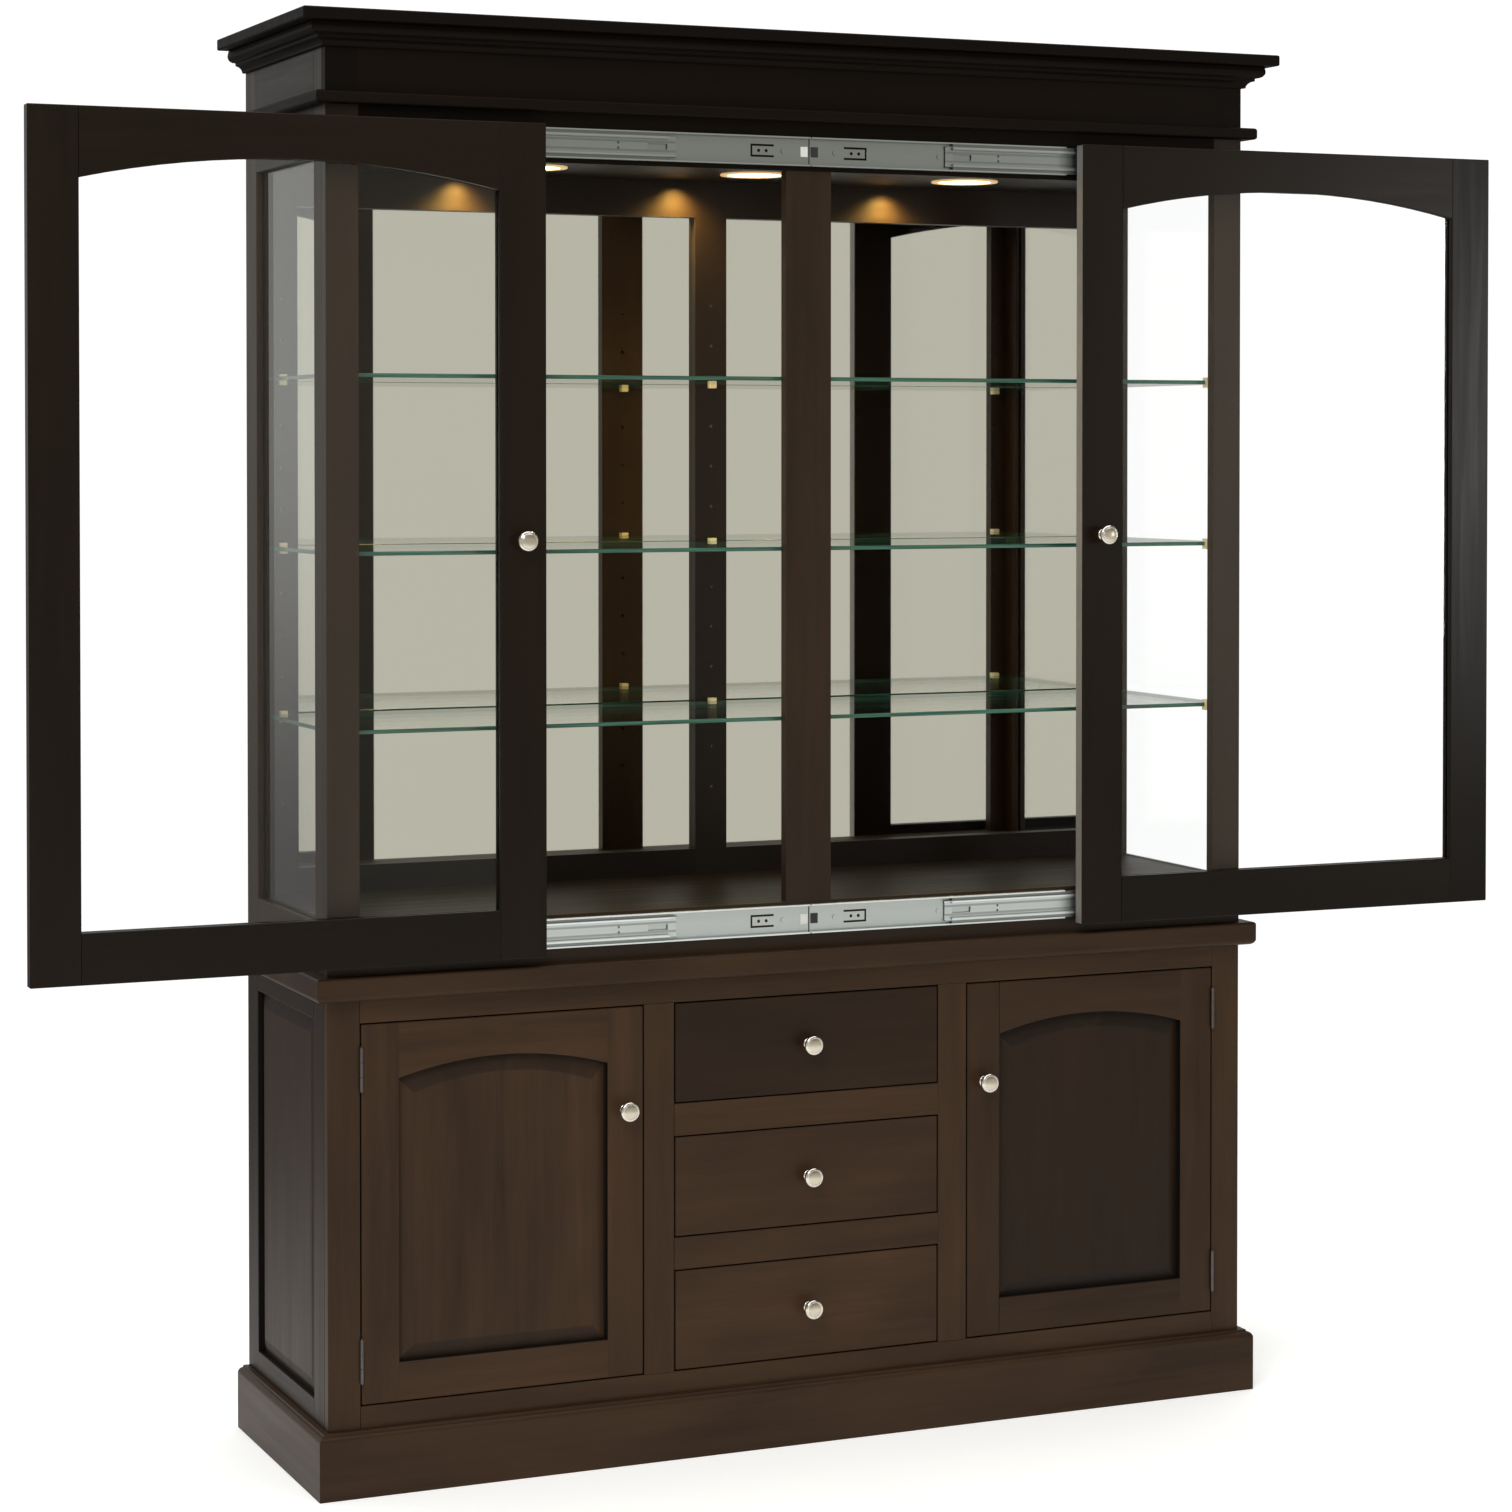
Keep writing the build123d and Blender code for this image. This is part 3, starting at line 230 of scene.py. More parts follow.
class WoodSettings(bpy.types.PropertyGroup):
    """Sizes and colours of the wooden boards."""
    stain_dark: colour("Dark stain", "The stain in dense grain", (0.0034, 0.0022, 0.0016))
    stain_light: colour("Light stain", "The stain where the wood took less of it",
                        (0.058, 0.0300, 0.0145))
    # Painted shade: this darker wood also stands for the shade in gaps, reveals and recesses.
    pooled_shade_share: share("Pooled stain", "How pale the wood is where stain has pooled", 0.12)
    # End grain and painted shade: the bevels that face up and down are made darker.
    end_grain_shade_share: share("End grain", "How pale the bevels across the grain are", 0.56)
    # The palenesses make the wood darker from the base up to the glass doors and the crown, and
    # darker inside the hutch.
    base_paleness: share("Base paleness", "How little stain the base took", 0.68)
    base_gloss: share("Base gloss", "Gloss of the base's wood", 0.15)
    hutch_paleness: share("Hutch paleness", "How little stain the hutch took", 0.34)
    inner_paleness: share("Inner paleness", "How little stain the hutch's inside took", 0.10)
    back_paleness: share("Back paleness", "How little stain the thin backs took", 0.75)
    door_paleness: share("Glass door paleness", "How little stain the glass doors took", 0.06)
    door_gloss: share("Glass door gloss", "Gloss of the glass doors' wood", 0.15)
    door_roughness: share("Glass door roughness", "How satin the glass doors are", 0.32)
    crown_paleness: share("Crown paleness", "How little stain the crown took", 0.03)
    crown_gloss: share("Crown gloss", "Gloss of the wood high up", 0.07)
    box_dark: colour("Drawer box grain", "Late wood of the drawer boxes", (0.40, 0.25, 0.12))
    box_light: colour("Drawer box wood", "Early wood of the drawer boxes", (0.62, 0.45, 0.27))
    lacquer_roughness: share("Lacquer roughness", "How satin the lacquer is", 0.42)
    eased_edge: length("Eased edge", "Width of the rounding on free edges", 0.0014)
    joint_edge: length("Joint edge", "Width of the rounding where boards meet", 0.00005)


class GlassSettings(bpy.types.PropertyGroup):
    """Colours and edges of the panes, shelves and mirrors."""
    sheet_tint: colour("Sheet tint", "What a pane lets through", (0.994, 1.0, 0.997))
    shelf_tint: colour("Shelf tint", "What a shelf lets through", (0.965, 0.985, 0.975))
    edge_light: colour("Bright edge", "Where light leaves the cut edge", (0.045, 0.150, 0.105))
    edge_dark: colour("Deep edge", "Where the cut edge shows its depth", (0.010, 0.045, 0.032))
    mirror_silver: colour("Silvering", "What a mirror throws back", (0.750, 0.760, 0.745))
    arris: length("Arris", "Width of the ground corner of a pane", 0.0006)


class MetalSettings(bpy.types.PropertyGroup):
    """Colours and roughness of the hardware."""
    nickel: colour("Satin nickel", "Knobs", (0.70, 0.66, 0.60))
    # Painted reflection: the middle of a knob's face gets a darker, warmer colour for the dim
    # reflection seen there.
    knob_face: colour("Knob face", "Middle of a knob's face", (0.60, 0.55, 0.46))
    bronze: colour("Dark bronze", "Hinges", (0.105, 0.096, 0.096))
    zinc: colour("Zinc plate", "Slides and plates", (0.84, 0.91, 0.94))
    nickel_roughness: share("Nickel roughness", "How satin the nickel is", 0.17)
    zinc_roughness: share("Zinc roughness", "How dull the zinc is", 0.34)
    # Painted shade: the upper slides are made darker because less light reaches them.
    upper_slides_light: share("Upper slides' shine", "How bright the plating of the upper slides is", 0.33)


class LightSettings(bpy.types.PropertyGroup):
    """The three lights under the hutch's ceiling."""
    glow: colour("Lamp colour", "Colour of the lit lenses", (1.0, 0.62, 0.26))
    lens_strength: amount("Lens strength", "Glow of a lens", 14.0, min=0.0)
    trim_glow: amount("Trim glow", "Glow of a trim ring", 0.5, min=0.0)
    lamp_power: power("Lamp power", "Power of one lamp", 1.2)
    throw_power: power("Throw power", "Power of the glow on the back rail", 13.0)
    throw_tint: colour("Throw colour", "Colour of the glow on the back rail", (1.0, 0.69, 0.17))
    throw_gap: length("Throw gap", "How far in front of the rail the glow starts", 0.025)
    throw_aside: length("Throw aside", "How far left of its lamp the glow falls", 0.065)


class StudioSettings(bpy.types.PropertyGroup):
    """Floor, studio light and camera."""
    floor: colour("Floor", "The floor's paint", (0.90, 0.90, 0.89))
    floor_glow: share("Floor glow", "Light that the floor gives off by itself", 0.36)
    floor_radius: length("Floor radius", "Where the floor ends", 4.4)
    floor_ahead: length("Floor ahead", "How far the floor's middle is in front of the cabinet", 1.3)
    backdrop: colour("Backdrop", "What is seen around the cabinet", (1.0, 1.0, 1.0))
    far_floor: colour("Far floor", "Light from low behind the cabinet", (0.19, 0.185, 0.185))
    far_wall: colour("Far wall", "Light from behind the cabinet", (0.62, 0.62, 0.60))
    room: colour("Room", "Light from in front of the cabinet", (0.60, 0.575, 0.485))
    upper_room: colour("Upper room", "Light from high up in front", (0.16, 0.155, 0.14))
    key_power: power("Key power", "Soft box high at the left", 110.0)
    top_power: power("Top power", "Soft box above", 190.0)
    side_power: power("Side power", "Slim soft box at the right", 0.7)
    side_spread: angle("Side spread", "How wide the slim soft box throws", 24.0)
    backdrop_strength: amount("Backdrop strength", "Brightness around the cabinet", 1.06, min=0.0)
    camera_x: coordinate("Camera X", "Camera's place across", -2.343)
    camera_y: coordinate("Camera Y", "Camera's place in depth", -5.3622)
    camera_z: coordinate("Camera height", "Camera's height", 1.581)
    camera_turn: angle("Camera turn", "Turn to the right", 23.65)
    camera_dip: angle("Camera dip", "Tilt down", 1.11)
    lens: amount("Focal length", "Lens on a 36 mm sensor", 84.83, unit="CAMERA")
    shift: amount("Vertical shift", "Lens shift", -0.1579)


# Working on pieces


def only(piece):
    """Select one object, in object mode."""
    bpy.ops.object.select_all(action="DESELECT")
    piece.select_set(True)
    bpy.context.view_layer.objects.active = piece


def edit_all():
    """Select everything in the active piece, in edit mode."""
    bpy.ops.object.mode_set(mode="EDIT")
    bpy.ops.mesh.select_all(action="SELECT")


def leave_edit():
    """Deselect everything and go back to object mode."""
    bpy.ops.mesh.select_all(action="DESELECT")
    bpy.ops.object.mode_set(mode="OBJECT")


def paint(piece, slot, chosen):
    """Give a material slot to the faces that are chosen."""
    for face in piece.data.polygons:
        if chosen(face):
            face.material_index = slot


def flood(items, neighbours):
    """Items that reach each other, as lists of their indices."""
    seen = set()
    groups = []
    for start in items:
        if start.index in seen:
            continue
        seen.add(start.index)
        heap = [start]
        group = []
        while heap:
            item = heap.pop()
            group.append(item.index)
            for other in neighbours(item):
                if other.index not in seen:
                    seen.add(other.index)
                    heap.append(other)
        groups.append(group)
    return groups


def face_groups(mesh):
    """Faces of a merged mesh by solid: edges that more than two faces share are borders."""
    shape = bmesh.new()
    shape.from_mesh(mesh)
    groups = flood(shape.faces, lambda face: [
        other for edge in face.edges if len(edge.link_faces) == 2 for other in edge.link_faces])
    shape.free()
    return groups


def islands(mesh):
    """The separate solids of a mesh, as lists of vertex indices."""
    shape = bmesh.new()
    shape.from_mesh(mesh)
    groups = flood(shape.verts, lambda corner: [
        edge.other_vert(corner) for edge in corner.link_edges])
    shape.free()
    return groups


def is_flat(mesh, group):
    """Whether faces lie in one plane: then two boards shared them where they touch."""
    normal = mesh.polygons[group[0]].normal
    return all(abs(mesh.polygons[index].normal.dot(normal)) > DEAD_FLAT for index in group)


def select_marked(piece, *numbers):
    """Select the faces marked with some numbers, and go to edit mode."""
    marks = piece.data.attributes["solid"].data
    for polygon in piece.data.polygons:
        polygon.select = marks[polygon.index].value in numbers
    bpy.ops.object.mode_set(mode="EDIT")


def part_solids(piece):
    """Take solids apart that got common corners or faces when the mesh was merged.

    It starts in edit mode and ends in object mode.
    """
    bpy.ops.mesh.select_mode(type="FACE")
    leave_edit()
    groups = face_groups(piece.data)
    shared = [group for group in groups if is_flat(piece.data, group)]
    solids = [group for group in groups if not is_flat(piece.data, group)]
    mark = piece.data.attributes.new("solid", "INT", "FACE")
    for number, group in enumerate(shared + solids):
        for index in group:
            mark.data[index].value = number - len(shared)
    for number in range(len(solids)):
        select_marked(piece, number)
        bpy.ops.mesh.split()
        leave_edit()
    if shared:
        select_marked(piece, *range(-len(shared), 0))
        bpy.ops.mesh.delete(type="FACE")
        bpy.ops.mesh.select_all(action="SELECT")
        bpy.ops.mesh.fill_holes(sides=0)
        bpy.ops.mesh.select_all(action="SELECT")
        bpy.ops.mesh.normals_make_consistent(inside=False)
        bpy.ops.object.mode_set(mode="OBJECT")
    piece.data.attributes.remove(piece.data.attributes["solid"])


def copy_of(node, name):
    """A merged copy of a node's mesh, with flat faces in one piece."""
    only(frame["nodes"][node])
    bpy.ops.object.duplicate()
    piece = bpy.context.active_object
    piece.name = name
    piece.data.name = name
    piece.parent = None
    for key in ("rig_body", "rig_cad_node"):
        if key in piece:
            del piece[key]
    edit_all()
    bpy.ops.mesh.remove_doubles(threshold=MERGED)
    part_solids(piece)
    edit_all()
    bpy.ops.mesh.dissolve_limited(angle_limit=SAME_PLANE)
    leave_edit()
    while piece.data.uv_layers:
        piece.data.uv_layers.remove(piece.data.uv_layers[0])
    return piece


def span(mesh, members=None):
    """Lowest and highest corner of some vertices, or of the whole mesh."""
    if members is None:
        members = range(len(mesh.vertices))
    points = [mesh.vertices[index].co for index in members]
    low = Vector([min(point[axis] for point in points) for axis in range(3)])
    high = Vector([max(point[axis] for point in points) for axis in range(3)])
    return low, high


def inside(point, box, slack):
    low, high = box
    return all(low[axis] - slack <= point[axis] <= high[axis] + slack for axis in range(3))


def steady(place, step):
    """A number from 0 to 1 that belongs to a place and never changes."""
    return 0.5 + 0.5 * cell(place * 37.0 + Vector((step * 13.7, step * 5.1, step * 9.3)))


def lay_grain(piece, boards, paleness, upper, upper_from):
    """Give each board its own place in the wood, with the grain along its longest side."""
    mesh = piece.data
    mesh.attributes.new("grain_place", "FLOAT_VECTOR", "POINT")
    mesh.attributes.new("board_tone", "FLOAT", "POINT")
    place = mesh.attributes["grain_place"]
    tone = mesh.attributes["board_tone"]
    for members, (low, high) in boards:
        size = high - low
        along = max(range(3), key=lambda axis: size[axis])
        across = [axis for axis in range(3) if axis != along]
        middle = (low + high) / 2
        offset = [steady(middle, step) * GRAIN_SHIFT for step in (1, 2, 3)]
        drift = BOARD_DRIFT * (steady(middle, 4) - 0.5)
        for index in members:
            point = mesh.vertices[index].co
            place.data[index].vector = (point[along] + offset[0], point[across[0]] + offset[1],
                                        point[across[1]] + offset[2])
            high_up = low.z > UPPER_BOARDS or point.z > upper_from
            tone.data[index].value = (upper if high_up else paleness) + drift


def weigh_edges(piece, boards, joint_share):
    """Full rounding on free edges, and a share of it where another board lies against the edge."""
    mesh = piece.data
    owner = {index: number for number, (members, box) in enumerate(boards) for index in members}
    weight = mesh.attributes.new("bevel_weight_edge", "FLOAT", "EDGE")
    for edge in mesh.edges:
        first, second = edge.vertices
        middle = (mesh.vertices[first].co + mesh.vertices[second].co) / 2
        joined = any(number != owner[first] and inside(middle, box, TOUCHING)
                     for number, (members, box) in enumerate(boards))
        weight.data[edge.index].value = joint_share if joined else 1.0


def ease_edges(piece, width, segments, limit="WEIGHT"):
    only(piece)
    bevel = piece.modifiers.new("eased_edges", "BEVEL")
    bevel.width = width
    bevel.segments = segments
    bevel.limit_method = limit
    bevel.angle_limit = CORNERS
    bevel.use_clamp_overlap = True
    bpy.ops.object.modifier_apply(modifier=bevel.name)
    flat = piece.modifiers.new("flat_faces", "WEIGHTED_NORMAL")
    flat.mode = "FACE_AREA"
    flat.weight = 100
    flat.keep_sharp = True
    bpy.ops.object.modifier_apply(modifier=flat.name)


def soften_mesh(piece, degrees):
    only(piece)
    bpy.ops.object.shade_smooth_by_angle(angle=math.radians(degrees), keep_sharp_edges=False)


def real_corners_only(piece):
    """Round only real corners: facets of a curved face stay as they are."""
    shape = bmesh.new()
    shape.from_mesh(piece.data)
    layer = shape.edges.layers.float.get("bevel_weight_edge")
    for edge in shape.edges:
        if len(edge.link_faces) == 2 and edge.calc_face_angle(0.0) < ROUND_FACETS:
            edge[layer] = 0.0
    shape.to_mesh(piece.data)
    shape.free()


def finish_piece(piece, node, names):
    """Put materials on a piece, let it ride like its node and stand for it."""
    piece.data.materials.clear()
    for name in names:
        piece.data.materials.append(material(name))
    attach(piece, BODY_OF[node])
    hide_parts(node)


def pool_stain_and_shade(piece, axis, margin):
    """The narrow faces round a board or round its openings, in the gaps and recesses: painted shade
    there, together with dark stain that has pooled on them.
    """
    low, high = span(piece.data)
    across = [other for other in range(3) if other != axis]
    paint(piece, POOLED_SHADE_SLOT, lambda face: abs(face.normal[axis]) < EDGE_ON and all(
        low[other] + margin < face.center[other] < high[other] - margin for other in across))


def stain_and_shade_bevels(piece, axis):
    """The bevels above and below a raised field, which cut the grain, show end grain, and carry
    painted shade for the way light falls on bevels that face up and down.
    """
    least, most = PANEL_BEVELS
    paint(piece, END_GRAIN_SHADE_SLOT, lambda face: least < abs(face.normal[axis]) < most
          and abs(face.normal.z) > abs(face.normal[1 - axis]))


def stain_and_shade_strip(piece, axis):
    """Painted shade and pooled dark stain on the flat strip round a raised field, down against the
    frame.
    """
    low, high = span(piece.data)
    paint(piece, POOLED_SHADE_SLOT, lambda face: abs(face.normal[axis]) > DEAD_FLAT
          and low[axis] + FIELD_DEPTH < face.center[axis] < high[axis] - FIELD_DEPTH)


def cut_across(piece, height):
    """Divide the faces of upright boards at a height, for a change of tone there."""
    only(piece)
    edit_all()
    bpy.ops.mesh.bisect(plane_co=(0.0, 0.0, height), plane_no=(0.0, 0.0, 1.0))
    leave_edit()


def pale_pin_holes(piece):
    """Pale wood inside the pin holes, which shows them as light dots."""
    piece.data.materials.append(material("bare_wood"))
    front = span(piece.data)[0].y
    paint(piece, len(piece.data.materials) - 1, lambda face: face.area < PIN_HOLE_AREA
          and PIN_HOLE_LIP < face.center.y - front < PIN_HOLE_DEPTH)


def wooden_piece(node, names, paleness, smooth=35):
    """A node's boards with their own grain and eased edges."""
    wood = bpy.context.scene.cabinet_wood
    # The darker list puts painted shade on some boards here.
    paleness *= DARKER_BY_TONE_AND_SHADE.get(node, 1.0)
    piece = copy_of(node, f"{node}_boards")
    reaches_crown = node == "hutch_face_frame"
    if reaches_crown:
        cut_across(piece, CROWN_FOOT)
        cut_across(piece, CROWN_START)
    boards = [(members, span(piece.data, members)) for members in islands(piece.data)]
    lay_grain(piece, boards, paleness, min(paleness, wood.crown_paleness),
              CROWN_START - 0.001 if reaches_crown else math.inf)
    weigh_edges(piece, boards, wood.joint_edge / wood.eased_edge)
    real_corners_only(piece)
    soften_mesh(piece, smooth)
    ease_edges(piece, wood.eased_edge, 2)
    finish_piece(piece, node, names)
    if paleness <= wood.crown_paleness:
        paint(piece, CROWN_SLOT, lambda face: True)
    elif reaches_crown:
        paint(piece, CROWN_SLOT, lambda face: face.center.z > UPPER_BOARDS + FRIEZE_ABOVE)
    return piece


# Materials


def toned(base, strength):
    """A colour made paler or darker."""
    return tuple(min(1.0, value * strength) for value in base)


class Wiring:
    """Short ways to add nodes to a node tree."""

    def __init__(self, tree):
        self.tree = tree

    def fill(self, socket, source):
        """Link a socket to another node's output, or give it a value."""
        if isinstance(source, bpy.types.NodeSocket):
            self.tree.links.new(source, socket)
        elif socket.type == "RGBA" and len(source) == 3:
            socket.default_value = (*source, 1.0)
        else:
            socket.default_value = source

    def node(self, kind, *sources, **values):
        """A new node, with its first sockets filled."""
        new = self.tree.nodes.new(kind)
        for key, value in values.items():
            setattr(new, key, value)
        for socket, source in zip(new.inputs, sources):
            self.fill(socket, source)
        return new

    def math(self, operation, *sources):
        return self.node("ShaderNodeMath", *sources, operation=operation).outputs[0]

    def stretch(self, value, low, high, to_low=0.0, to_high=1.0, how="LINEAR"):
        return self.node("ShaderNodeMapRange", value, low, high, to_low, to_high,
                         interpolation_type=how).outputs["Result"]

    def mix_colours(self, factor, first, second):
        mix = self.node("ShaderNodeMix", factor, data_type="RGBA")
        self.fill(mix.inputs[6], first)
        self.fill(mix.inputs[7], second)
        return mix.outputs[2]


class Finish(Wiring):
    """A material, with its shader and its patterns."""

    def __init__(self, name):
        made = bpy.data.materials.new(name)
        made.use_nodes = True
        super().__init__(made.node_tree)
        self.shader = self.tree.nodes["Principled BSDF"]

    def set(self, **sources):
        """Fill the shader's sockets."""
        for key, source in sources.items():
            self.fill(self.shader.inputs[key.replace("_", " ")], source)

    def attribute(self, name, output):
        return self.node("ShaderNodeAttribute", attribute_name=name).outputs[output]

    def object_place(self):
        return self.node("ShaderNodeTexCoord").outputs["Object"]

    def noise(self, scale, detail=2.0, rough=0.5, distortion=0.0, vector=None):
        """Noise with one scale, or with a scale for each axis, on object coordinates or others."""
        mapping = self.node("ShaderNodeMapping", vector or self.object_place())
        mapping.inputs["Scale"].default_value = scale if isinstance(scale, tuple) else (scale,) * 3
        texture = self.node("ShaderNodeTexNoise", mapping.outputs["Vector"])
        for name, value in (("Scale", 1.0), ("Detail", detail), ("Roughness", rough),
                            ("Distortion", distortion)):
            texture.inputs[name].default_value = value
        return texture.outputs["Fac"]

    def spread(self, noise, to_low=0.0, to_high=1.0):
        """Noise stretched from its usual range to another."""
        return self.stretch(noise, *NOISE_RANGE, to_low, to_high)

    def sum_of(self, *terms):
        """Values times their weights, added up."""
        total = 0.0
        for value, weight in terms:
            total = self.math("MULTIPLY_ADD", value, weight, total)
        return total

    def bump(self, height, strength, distance):
        bump = self.node("ShaderNodeBump", strength, distance)
        self.fill(bump.inputs["Height"], height)
        return bump.outputs["Normal"]

    def show_mix(self, factor, first, second):
        """Let the surface change from one shader to another."""
        mix = self.node("ShaderNodeMixShader", factor, first.outputs[0], second.outputs[0])
        self.fill(self.tree.nodes["Material Output"].inputs["Surface"], mix.outputs[0])


def wood_finish(name, dark, light, roughness, gloss=WOOD_GLOSS, contrast=STAIN_CONTRAST):
    """Close-grained wood: soft blotches, long figure lines and fine pores, under satin lacquer."""
    finish = Finish(name)
    place = finish.attribute("grain_place", "Vector")
    tone = finish.attribute("board_tone", "Fac")
    blotches = finish.noise(BLOTCHES, distortion=0.4, vector=place)
    figure = finish.noise(FIGURE, detail=4.0, rough=0.6, distortion=0.6, vector=place)
    pores = finish.noise(PORES, detail=1.0, vector=place)
    swings = finish.sum_of((finish.spread(blotches, -0.5, 0.5), 0.5 * contrast),
                           (finish.spread(figure, -0.5, 0.5), 0.35 * contrast),
                           (finish.stretch(pores, *FINE_RANGE, -0.5, 0.5), 0.15 * contrast))
    uptake = finish.math("MULTIPLY_ADD", swings, finish.sum_of((tone, 0.9)), tone)
    relief = finish.sum_of((pores, 0.5), (figure, 1.0))
    finish.set(Base_Color=finish.mix_colours(finish.stretch(uptake, 0.0, 1.0), dark, light),
               Roughness=finish.spread(figure, roughness - 0.04, roughness + 0.05),
               Normal=finish.bump(relief, 0.10, 0.0004), IOR=1.45, Specular_IOR_Level=gloss)


def plate(finish, colours, roughness, streak_scale, streaks):
    """Metal of some colours, with fine streaks in its roughness."""
    fine = finish.noise(streak_scale, detail=3.0, rough=0.6)
    finish.set(Base_Color=colours, Metallic=1.0, Normal=finish.bump(fine, 0.04, 0.0002),
               Roughness=finish.spread(fine, roughness - streaks, roughness + streaks))


def metal_finish(name, base, roughness, streak_scale, streaks):
    """Plated metal with a little colour drift."""
    finish = Finish(name)
    drift = finish.noise(14.0)
    colours = finish.mix_colours(finish.spread(drift), toned(base, 0.86), base)
    plate(finish, colours, roughness, streak_scale, streaks)


def rolled_light_finish(name, metal, bands):
    """Plated strip rolled into a slide, by height from its middle: painted highlights on the bends,
    painted shade on the flats and in the gaps between members.
    """
    finish = Finish(name)
    reach = bands[-1][0]
    rise = finish.math("ABSOLUTE", finish.attribute("rise", "Fac"))
    ramp = finish.node("ShaderNodeValToRGB", finish.stretch(rise, 0.0, reach))
    stops = ramp.color_ramp.elements
    for height, brightness in bands[1:-1]:
        stops.new(height / reach)
    for stop, (height, brightness) in zip(stops, bands):
        stop.color = (brightness, brightness, brightness, 1.0)
    # On the upper slides the bands are dimmed: painted shade.
    shine = finish.math("MULTIPLY", ramp.outputs["Color"], finish.attribute("plate_shine", "Fac"))
    colours = finish.mix_colours(shine, toned(metal.zinc, 0.18), metal.zinc)
    plate(finish, colours, metal.zinc_roughness, ROLLING_LINES, 0.07)


def clear_glass(name, tint):
    """Flat polished glass: see-through, with a mirror gloss that grows at low angles."""
    finish = Finish(name)
    finish.tree.nodes.remove(finish.shader)
    waver = finish.noise(1.5, detail=1.0)
    through = finish.node("ShaderNodeBsdfTransparent",
                          finish.mix_colours(waver, tint, toned(tint, 1.02)))
    gloss = finish.node("ShaderNodeBsdfGlossy", (1.0, 1.0, 1.0), 0.01)
    steep = finish.math("POWER", finish.node("ShaderNodeLayerWeight").outputs["Facing"], 5.0)
    finish.show_mix(finish.stretch(steep, 0.0, 1.0, 0.012, 0.9), through, gloss)


def cut_edge(name, light, dark):
    """The ground and polished edge of a pane: deep green with paler runs."""
    finish = Finish(name)
    runs = finish.noise((6.0, 6.0, 400.0), detail=3.0, rough=0.6)
    finish.set(Base_Color=finish.mix_colours(finish.stretch(runs, *FINE_RANGE), dark, light),
               Roughness=0.08, IOR=1.52)


def silvering(name, silver):
    """A mirror with the faint green of its glass and a slight unevenness."""
    finish = Finish(name)
    drift = finish.noise(3.0)
    finish.set(Base_Color=finish.mix_colours(drift, silver, toned(silver, 0.98)), Metallic=1.0,
               Roughness=0.02)


def plain_finish(name, base, roughness, extras=None):
    """Moulded or painted surface with a fine skin and slight colour drift."""
    finish = Finish(name)
    drift = finish.noise(60.0, detail=3.0)
    skin = finish.noise(1800.0)
    finish.set(Base_Color=finish.mix_colours(drift, toned(base, 0.92), base),
               Roughness=finish.spread(skin, roughness - 0.04, roughness + 0.04),
               Normal=finish.bump(skin, 0.03, 0.0001), **(extras or {}))


def lit_lens(name, lights):
    """A frosted lens that glows in the lamp's colour, with a fine grain in its glow."""
    finish = Finish(name)
    grain = finish.noise(900.0)
    finish.set(Base_Color=(0.9, 0.82, 0.66), Roughness=0.35, Emission_Strength=lights.lens_strength,
               Emission_Color=finish.mix_colours(grain, lights.glow, toned(lights.glow, 1.05)))


